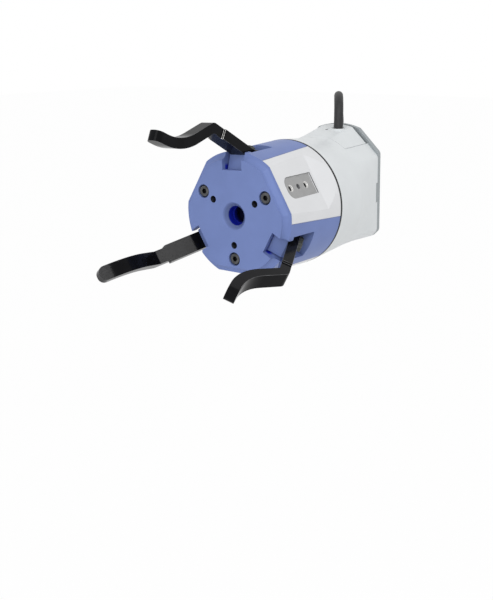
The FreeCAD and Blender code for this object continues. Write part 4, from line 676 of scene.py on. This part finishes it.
def make_screw_tree():
    """A socket head screw at every point: knurled head, broken rim, hexagon socket with painted shade and
    plain shank.
    """
    tree = bpy.data.node_groups.new("socket_screws", "GeometryNodeTree")
    tree_input(tree, "Points", "NodeSocketGeometry")
    for name, value in (
        ("Head radius", 0.0035), ("Head height", 0.004), ("Rim", 0.0004), ("Knurl depth", 0.0001),
        ("Socket radius", 0.00173), ("Socket depth", 0.002), ("Shank radius", 0.002), ("Shank length", 0.01),
    ):
        tree_input(tree, name, "NodeSocketFloat", value)
    tree_input(tree, "Knurls", "NodeSocketInt", 36)
    tree_input(tree, "Finish", "NodeSocketMaterial")
    tree_input(tree, "Socket shade finish", "NodeSocketMaterial")
    tree.interface.new_socket("Screws", in_out="OUTPUT", socket_type="NodeSocketGeometry")
    given = add_node(tree, "NodeGroupInput").outputs
    result = add_node(tree, "NodeGroupOutput")

    head = add_node(tree, "GeometryNodeMeshCylinder", fill_type="NGON")
    wall_height = arithmetic(tree, "SUBTRACT", given["Head height"], given["Rim"])
    tree.links.new(arithmetic(tree, "MULTIPLY", given["Knurls"], 2), head.inputs["Vertices"])
    tree.links.new(given["Head radius"], head.inputs["Radius"])
    tree.links.new(wall_height, head.inputs["Depth"])
    index = add_node(tree, "GeometryNodeInputIndex")
    odd = arithmetic(tree, "MODULO", index.outputs["Index"], 2)
    place = add_node(tree, "GeometryNodeInputPosition")
    flat = add_node(tree, "ShaderNodeVectorMath", operation="MULTIPLY")
    flat.inputs[1].default_value = (1, 1, 0)
    inwards = add_node(tree, "ShaderNodeVectorMath", operation="NORMALIZE")
    step = add_node(tree, "ShaderNodeVectorMath", operation="SCALE")
    tree.links.new(place.outputs["Position"], flat.inputs[0])
    tree.links.new(flat.outputs["Vector"], inwards.inputs[0])
    tree.links.new(inwards.outputs["Vector"], step.inputs[0])
    tree.links.new(arithmetic(tree, "MULTIPLY", given["Knurl depth"], -1), step.inputs["Scale"])
    knurled = add_node(tree, "GeometryNodeSetPosition")
    tree.links.new(head.outputs["Mesh"], knurled.inputs["Geometry"])
    tree.links.new(odd, knurled.inputs["Selection"])
    tree.links.new(step.outputs["Vector"], knurled.inputs["Offset"])
    crown = add_node(tree, "GeometryNodeExtrudeMesh", mode="FACES")
    tree.links.new(knurled.outputs["Geometry"], crown.inputs["Mesh"])
    tree.links.new(head.outputs["Top"], crown.inputs["Selection"])
    tree.links.new(given["Rim"], crown.inputs["Offset Scale"])
    shrink = arithmetic(tree, "SUBTRACT", 1, arithmetic(tree, "DIVIDE", given["Rim"], given["Head radius"]))
    rim = add_node(tree, "GeometryNodeScaleElements")
    tree.links.new(crown.outputs["Mesh"], rim.inputs["Geometry"])
    tree.links.new(crown.outputs["Top"], rim.inputs["Selection"])
    tree.links.new(shrink, rim.inputs["Scale"])
    raised = lifted(tree, rim.outputs["Geometry"], arithmetic(tree, "MULTIPLY", wall_height, 0.5))

    hexagon = add_node(tree, "GeometryNodeMeshCylinder", fill_type="NGON")
    hexagon.inputs["Vertices"].default_value = 6
    tree.links.new(given["Socket radius"], hexagon.inputs["Radius"])
    tree.links.new(arithmetic(tree, "MULTIPLY", given["Socket depth"], 2), hexagon.inputs["Depth"])
    recessed = add_node(tree, "GeometryNodeMeshBoolean", operation="DIFFERENCE")
    tree.links.new(raised, recessed.inputs["Mesh 1"])
    tree.links.new(lifted(tree, hexagon.outputs["Mesh"], given["Head height"]), recessed.inputs["Mesh 2"])
    half_rim = arithmetic(tree, "MULTIPLY", given["Rim"], 0.5)
    below_top = arithmetic(tree, "SUBTRACT", given["Head height"], half_rim)
    socket_shaded_head = mark_inner(tree, recessed.outputs["Mesh"], given["Socket radius"], below_top)

    shank = add_node(tree, "GeometryNodeMeshCylinder", fill_type="NGON")
    tree.links.new(given["Shank radius"], shank.inputs["Radius"])
    tree.links.new(given["Shank length"], shank.inputs["Depth"])
    hung = lifted(tree, shank.outputs["Mesh"], arithmetic(tree, "MULTIPLY", given["Shank length"], -0.5))
    whole = add_node(tree, "GeometryNodeJoinGeometry")
    tree.links.new(socket_shaded_head, whole.inputs["Geometry"])
    tree.links.new(hung, whole.inputs["Geometry"])
    screws = set_on_points(
        tree, given["Points"], whole.outputs["Geometry"], given["Finish"], given["Socket shade finish"],
    )
    tree.links.new(screws, result.inputs["Screws"])
    return tree


def grow(name, places, tree, values):
    """Runs a tree on points and keeps the result as a plain mesh.

    Each point is a place and the way that its shape faces.
    """
    mesh = bpy.data.meshes.new(name)
    mesh.from_pydata([place for place, _ in places], [], [])
    ways = mesh.attributes.new("way", "FLOAT_VECTOR", "POINT")
    for number, (_, way) in enumerate(places):
        ways.data[number].vector = way
    piece = put_in_scene(name, mesh)
    modifier = piece.modifiers.new("made", "NODES")
    modifier.node_group = tree
    identifiers = {item.name: item.identifier for item in tree.interface.items_tree if item.in_out == "INPUT"}
    for key, value in values.items():
        modifier[identifiers[key]] = value
    made = as_plain_mesh(piece)
    for used in ("way", "inner"):
        if used in made.attributes:
            made.attributes.remove(made.attributes[used])
    smooth(made, sharp_from=35)
    return piece


def round_axis(radius, angle, y):
    """A point round the gripper's axis."""
    turn = math.radians(angle)
    return Vector((radius * math.cos(turn), y, radius * math.sin(turn)))


GUNMETAL = (0.085, 0.086, 0.088)
blackened_steel = new_finish("blackened_steel", GUNMETAL, roughness=0.36, metallic=0.75)
oil_film = grain(blackened_steel, per_metre=500)
vary_roughness(blackened_steel, oil_film, low=0.28, high=0.48)
vary_colour(blackened_steel, oil_film, GUNMETAL, low=0.7, high=1.5)
PHOSPHATE_GREY = (0.075, 0.08, 0.075)
phosphated_steel = new_finish("phosphated_steel", PHOSPHATE_GREY, roughness=0.42, metallic=0.5)
vary_roughness(phosphated_steel, grain(phosphated_steel, per_metre=900), low=0.34, high=0.55)
vary_colour(phosphated_steel, grain(phosphated_steel, per_metre=700), PHOSPHATE_GREY, low=0.7, high=1.3)
# The hexagon sockets are painted near black: painted shade in the recesses.
SOCKET_PAINTED_SHADE = (0.006, 0.006, 0.007)
socket_shade_finish = new_finish("socket_shade_finish", SOCKET_PAINTED_SHADE, roughness=0.5, metallic=0.4)
vary_roughness(socket_shade_finish, grain(socket_shade_finish, per_metre=900), low=0.4, high=0.62)
vary_colour(socket_shade_finish, grain(socket_shade_finish, per_metre=700), SOCKET_PAINTED_SHADE, low=0.7, high=1.4)
screw_tree = make_screw_tree()

FLAT_ANGLES = (30, 150, 270)
NOSE_SCREW_CIRCLE, NOSE_SCREW_SEAT = 0.0258, FRONT_FACE + 0.0046
nose_places = [(round_axis(NOSE_SCREW_CIRCLE, angle, NOSE_SCREW_SEAT), -TO_REAR) for angle in FLAT_ANGLES]
nose_screws = grow("nose_socket_screws", nose_places, screw_tree, {
    "Head radius": 0.0035, "Head height": 0.004, "Socket radius": 0.00173, "Shank radius": 0.002,
    "Shank length": 0.059, "Finish": blackened_steel, "Socket shade finish": socket_shade_finish,
})
stand_for(nose_screws, "nose_screws")

SMALL_SCREW = {
    "Head radius": 0.00275, "Head height": 0.003, "Rim": 0.0003, "Socket radius": 0.00144,
    "Socket depth": 0.0015, "Shank radius": 0.0015, "Socket shade finish": socket_shade_finish,
}
FINGER_SCREW = {**SMALL_SCREW, "Shank length": 0.0083, "Finish": phosphated_steel}
BAR_TOP = 0.0107
FINGER_SCREWS_ALONG = (-0.0036, 0.0036)
for finger, angle in FINGER_ANGLES.items():
    to_finger = Matrix.Rotation(math.radians(90 - angle), 3, "Y")
    places = [
        (to_finger @ (PIVOT + ALONG_ARM * along + OFF_ARM * BAR_TOP), to_finger @ OFF_ARM)
        for along in FINGER_SCREWS_ALONG
    ]
    screws = grow(f"finger_socket_screws_{finger}", places, screw_tree, FINGER_SCREW)
    stand_for(screws, f"finger_screws_{finger}")

PLATE_SCREW = {**SMALL_SCREW, "Shank length": 0.0104, "Finish": turned_steel}
PLATE_SCREW_X, PLATE_SCREW_Z, PLATE_SCREW_SEAT = 0.026, 0.009, -0.0036
plate_places = [
    (Vector((x, PLATE_SCREW_SEAT, z)), TO_REAR)
    for x in (-PLATE_SCREW_X, PLATE_SCREW_X) for z in (-PLATE_SCREW_Z, PLATE_SCREW_Z)
]
plate_screws = grow("plate_socket_screws", plate_places, screw_tree, PLATE_SCREW)
stand_for(plate_screws, "plate_screws")

# Threads: the tapped holes of the front face, the bracket pad and the rear plate have turns of thread, near
# black as painted shade in the holes. Their turns show as fine rings, and on the pad the first two are cut
# bright.


def make_thread_tree():
    """Turns of thread down from every point, against its way."""
    tree = bpy.data.node_groups.new("thread_turns", "GeometryNodeTree")
    tree_input(tree, "Points", "NodeSocketGeometry")
    for name, value in (("Hole radius", 0.0021), ("Ridge", 0.0003), ("Pitch", 0.0008)):
        tree_input(tree, name, "NodeSocketFloat", value)
    tree_input(tree, "Turns", "NodeSocketInt", 6)
    tree_input(tree, "Finish", "NodeSocketMaterial")
    tree.interface.new_socket("Threads", in_out="OUTPUT", socket_type="NodeSocketGeometry")
    given = add_node(tree, "NodeGroupInput").outputs
    result = add_node(tree, "NodeGroupOutput")
    path = add_node(tree, "GeometryNodeCurvePrimitiveCircle", mode="RADIUS")
    path.inputs["Resolution"].default_value = 36
    tree.links.new(given["Hole radius"], path.inputs["Radius"])
    section = add_node(tree, "GeometryNodeCurvePrimitiveCircle", mode="RADIUS")
    section.inputs["Resolution"].default_value = 4
    tree.links.new(given["Ridge"], section.inputs["Radius"])
    turn = add_node(tree, "GeometryNodeCurveToMesh")
    tree.links.new(path.outputs["Curve"], turn.inputs["Curve"])
    tree.links.new(section.outputs["Curve"], turn.inputs["Profile Curve"])
    depth = add_node(tree, "GeometryNodeMeshLine", mode="OFFSET")
    tree.links.new(given["Turns"], depth.inputs["Count"])
    down = joined_vector(tree, 0, 0, arithmetic(tree, "MULTIPLY", given["Pitch"], -1))
    tree.links.new(down, depth.inputs["Offset"])
    stack = add_node(tree, "GeometryNodeInstanceOnPoints")
    tree.links.new(depth.outputs["Mesh"], stack.inputs["Points"])
    tree.links.new(turn.outputs["Mesh"], stack.inputs["Instance"])
    threads = set_on_points(tree, given["Points"], stack.outputs["Instances"], given["Finish"])
    tree.links.new(threads, result.inputs["Threads"])
    return tree


thread_tree = make_thread_tree()
# The dark thread turns are painted shade deep in the holes.
HOLE_SHADE_BLACK = (0.004, 0.004, 0.005)
hole_painted_shade = new_finish("hole_painted_shade", HOLE_SHADE_BLACK, roughness=0.42, metallic=0.7)
vary_roughness(hole_painted_shade, grain(hole_painted_shade, per_metre=1500), low=0.34, high=0.55)
vary_colour(hole_painted_shade, grain(hole_painted_shade, per_metre=600), HOLE_SHADE_BLACK, low=0.6, high=1.5)
BRIGHT_CUT = (0.86, 0.85, 0.83)
bright_cut = new_finish("bright_cut", BRIGHT_CUT, roughness=0.25, metallic=0.7)
vary_roughness(bright_cut, grain(bright_cut, per_metre=1800), low=0.2, high=0.36)
vary_colour(bright_cut, grain(bright_cut, per_metre=900), BRIGHT_CUT, low=0.9, high=1.05)

FIRST_TURN = 0.0006
TOOL_HOLE_CIRCLE = 0.01745
FLANGE_CIRCLE, FLANGE_ANGLES = 0.025, (45, 135, 225, 315)
front_places = [
    (round_axis(TOOL_HOLE_CIRCLE, angle, FRONT_FACE + FIRST_TURN), -TO_REAR) for angle in FLAT_ANGLES
]
flange_places = [(round_axis(FLANGE_CIRCLE, angle, -FIRST_TURN), TO_REAR) for angle in FLANGE_ANGLES]
PAD_FACE, PAD_HOLES = 0.0343, (0.0157, 0.0317)
PAD_BRIGHT_DEPTH, PAD_DARK_DEPTH = 0.0003, 0.0019


def pad_places(depth):
    """The two threaded holes of the pad, at a depth below its face."""
    return [(PAD_OUT * (PAD_FACE - depth) + TO_REAR * (FRONT_FACE + at), PAD_OUT) for at in PAD_HOLES]


for name, places, radius, turns, finish in (
    ("front_threads", front_places, 0.0021, 11, hole_painted_shade),
    ("pad_first_turns", pad_places(PAD_BRIGHT_DEPTH), 0.0021, 2, bright_cut),
    ("pad_threads", pad_places(PAD_DARK_DEPTH), 0.002, 4, hole_painted_shade),
    ("flange_threads", flange_places, 0.0025, 9, hole_painted_shade),
):
    threads = grow(name, places, thread_tree, {"Hole radius": radius, "Turns": turns, "Finish": finish})
    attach(threads, "base")

# Cable: a robot cable with a dark grey plastic jacket, held by a white gland in the cover.
# It bends over, hangs behind the rear end and ends in a round black plug.

CABLE_GREY = (0.012, 0.012, 0.0132)
cable_jacket = new_finish("cable_jacket", CABLE_GREY, roughness=0.55)
jacket_grain = grain(cable_jacket, per_metre=1200)
vary_roughness(cable_jacket, jacket_grain, low=0.46, high=0.66)
vary_colour(cable_jacket, grain(cable_jacket, per_metre=200), CABLE_GREY, low=0.85, high=1.2)
raise_grain(cable_jacket, jacket_grain, height=0.00005, strength=0.3)

CABLE_RADIUS = 0.0031
CABLE_ROUTE = (
    (0.006, -0.014, 0.037), (0.0066, -0.0142, 0.054), (0.0012, -0.0054, 0.0634), (-0.0094, 0.0124, 0.0636),
    (-0.0166, 0.0248, 0.054), (-0.0165, 0.0268, 0.037), (-0.028, 0.0286, 0.024), (-0.036, 0.029, 0.008),
    (-0.036, 0.028, -0.009),
)
line = bpy.data.curves.new("cable_line", "CURVE")
line.dimensions = "3D"
line.bevel_depth = CABLE_RADIUS
line.bevel_resolution = 7
line.resolution_u = 12
line.use_fill_caps = True
route = line.splines.new("NURBS")
route.points.add(len(CABLE_ROUTE) - 1)
for point, place in zip(route.points, CABLE_ROUTE):
    point.co = (*place, 1)
route.order_u = 3
route.use_endpoint_u = True
line.materials.append(cable_jacket)
cable = put_in_scene("robot_cable", line)
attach(cable, "base")
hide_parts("cable")
dress("cable_gland", housing_white)
dress("cable_plug", moulded_black)

# Stage: a pale floor well below, soft light from above and in front, and a white room.
# The camera stands to the right of the front and a little above, as in the photograph.

FLOOR_HALF, FLOOR_Z = 4.0, cad_low.z - 0.16
FLOOR_PALE, FLOOR_GLOW = (0.86, 0.86, 0.86), 0.97
floor_mesh = bpy.data.meshes.new("floor")
floor_mesh.from_pydata(
    [(x * FLOOR_HALF, y * FLOOR_HALF, FLOOR_Z) for x, y in ((-1, -1), (1, -1), (1, 1), (-1, 1))],
    [], [(0, 1, 2, 3)],
)
floor = put_in_scene("floor", floor_mesh)


def seen_directly(tree):
    """1 for what the camera, metal and glass see of the room, and 0 for the light on the object."""
    path = add_node(tree, "ShaderNodeLightPath").outputs
    mirrored = arithmetic(tree, "MAXIMUM", path["Is Glossy Ray"], path["Is Transmission Ray"])
    return arithmetic(tree, "MAXIMUM", path["Is Camera Ray"], mirrored)


floor_finish = new_finish("floor_pale", FLOOR_PALE, roughness=0.8)
floor_tree = floor_finish.node_tree
floor_glow = add_node(floor_tree, "ShaderNodeEmission")
floor_mix = add_node(floor_tree, "ShaderNodeMixShader")
floor_share = arithmetic(floor_tree, "MULTIPLY", seen_directly(floor_tree), FLOOR_GLOW)
floor_tree.links.new(floor_share, floor_mix.inputs["Fac"])
floor_tree.links.new(floor_tree.nodes["Principled BSDF"].outputs["BSDF"], floor_mix.inputs[1])
floor_tree.links.new(floor_glow.outputs["Emission"], floor_mix.inputs[2])
floor_tree.links.new(floor_mix.outputs["Shader"], floor_tree.nodes["Material Output"].inputs["Surface"])
floor_mesh.materials.append(floor_finish)

ROOM_LIGHT, ROOM_SEEN = 0.67, 1.0
world = bpy.data.worlds.new("white_room")
bpy.context.scene.world = world
world.use_nodes = True
world_tree = world.node_tree
sky = world_tree.nodes["Background"]
sky.inputs["Color"].default_value = (1, 1, 1, 1)
sky_strength = add_node(world_tree, "ShaderNodeMapRange")
sky_strength.inputs["To Min"].default_value = ROOM_LIGHT
sky_strength.inputs["To Max"].default_value = ROOM_SEEN
world_tree.links.new(seen_directly(world_tree), sky_strength.inputs["Value"])
world_tree.links.new(sky_strength.outputs["Result"], sky.inputs["Strength"])


def soft_lamp(name, place, aim, power, width):
    """A square lamp that points at a place."""
    light = bpy.data.lights.new(name, "AREA")
    light.energy = power
    light.size = width
    lamp = put_in_scene(name, light)
    lamp.location = place
    lamp.rotation_euler = (Vector(aim) - Vector(place)).to_track_quat("-Z", "Y").to_euler()


MIDDLE = (0, -0.08, 0)
soft_lamp("key_lamp", place=(0.28, -1.1, 0.48), aim=MIDDLE, power=3.6, width=0.6)
soft_lamp("side_lamp", place=(0.778, -0.36, 0.674), aim=MIDDLE, power=1.5, width=0.19)

IMAGE_WIDTH, IMAGE_HEIGHT = 493, 600
FOCAL_PIXELS = 877.675
OPTICAL_CENTRE = (272.66, 205.81)
CAMERA_AZIMUTH, CAMERA_ELEVATION, CAMERA_ROLL = 0.60801, 0.18498, -0.00561
CAMERA_DISTANCE = 0.5461
CAMERA_TARGET = Vector((0, FRONT_FACE + 0.04, 0))
back = Vector((
    math.sin(CAMERA_AZIMUTH) * math.cos(CAMERA_ELEVATION),
    -math.cos(CAMERA_AZIMUTH) * math.cos(CAMERA_ELEVATION),
    math.sin(CAMERA_ELEVATION),
))
level = Vector((math.cos(CAMERA_AZIMUTH), math.sin(CAMERA_AZIMUTH), 0))
upright = back.cross(level)
right = level * math.cos(CAMERA_ROLL) + upright * math.sin(CAMERA_ROLL)
upwards = upright * math.cos(CAMERA_ROLL) - level * math.sin(CAMERA_ROLL)
lens = bpy.data.cameras.new("camera")
lens.sensor_width = 36
lens.lens = FOCAL_PIXELS * lens.sensor_width / IMAGE_HEIGHT
lens.shift_x = (IMAGE_WIDTH / 2 - OPTICAL_CENTRE[0]) / IMAGE_HEIGHT
lens.shift_y = (OPTICAL_CENTRE[1] - IMAGE_HEIGHT / 2) / IMAGE_HEIGHT
lens.clip_start, lens.clip_end = 0.01, 50
camera = put_in_scene("camera", lens)
camera_turn = Matrix((right, upwards, back)).transposed().to_4x4()
camera.matrix_world = Matrix.Translation(CAMERA_TARGET + back * CAMERA_DISTANCE) @ camera_turn
bpy.context.scene.camera = camera
bpy.context.scene.view_settings.view_transform = "Standard"
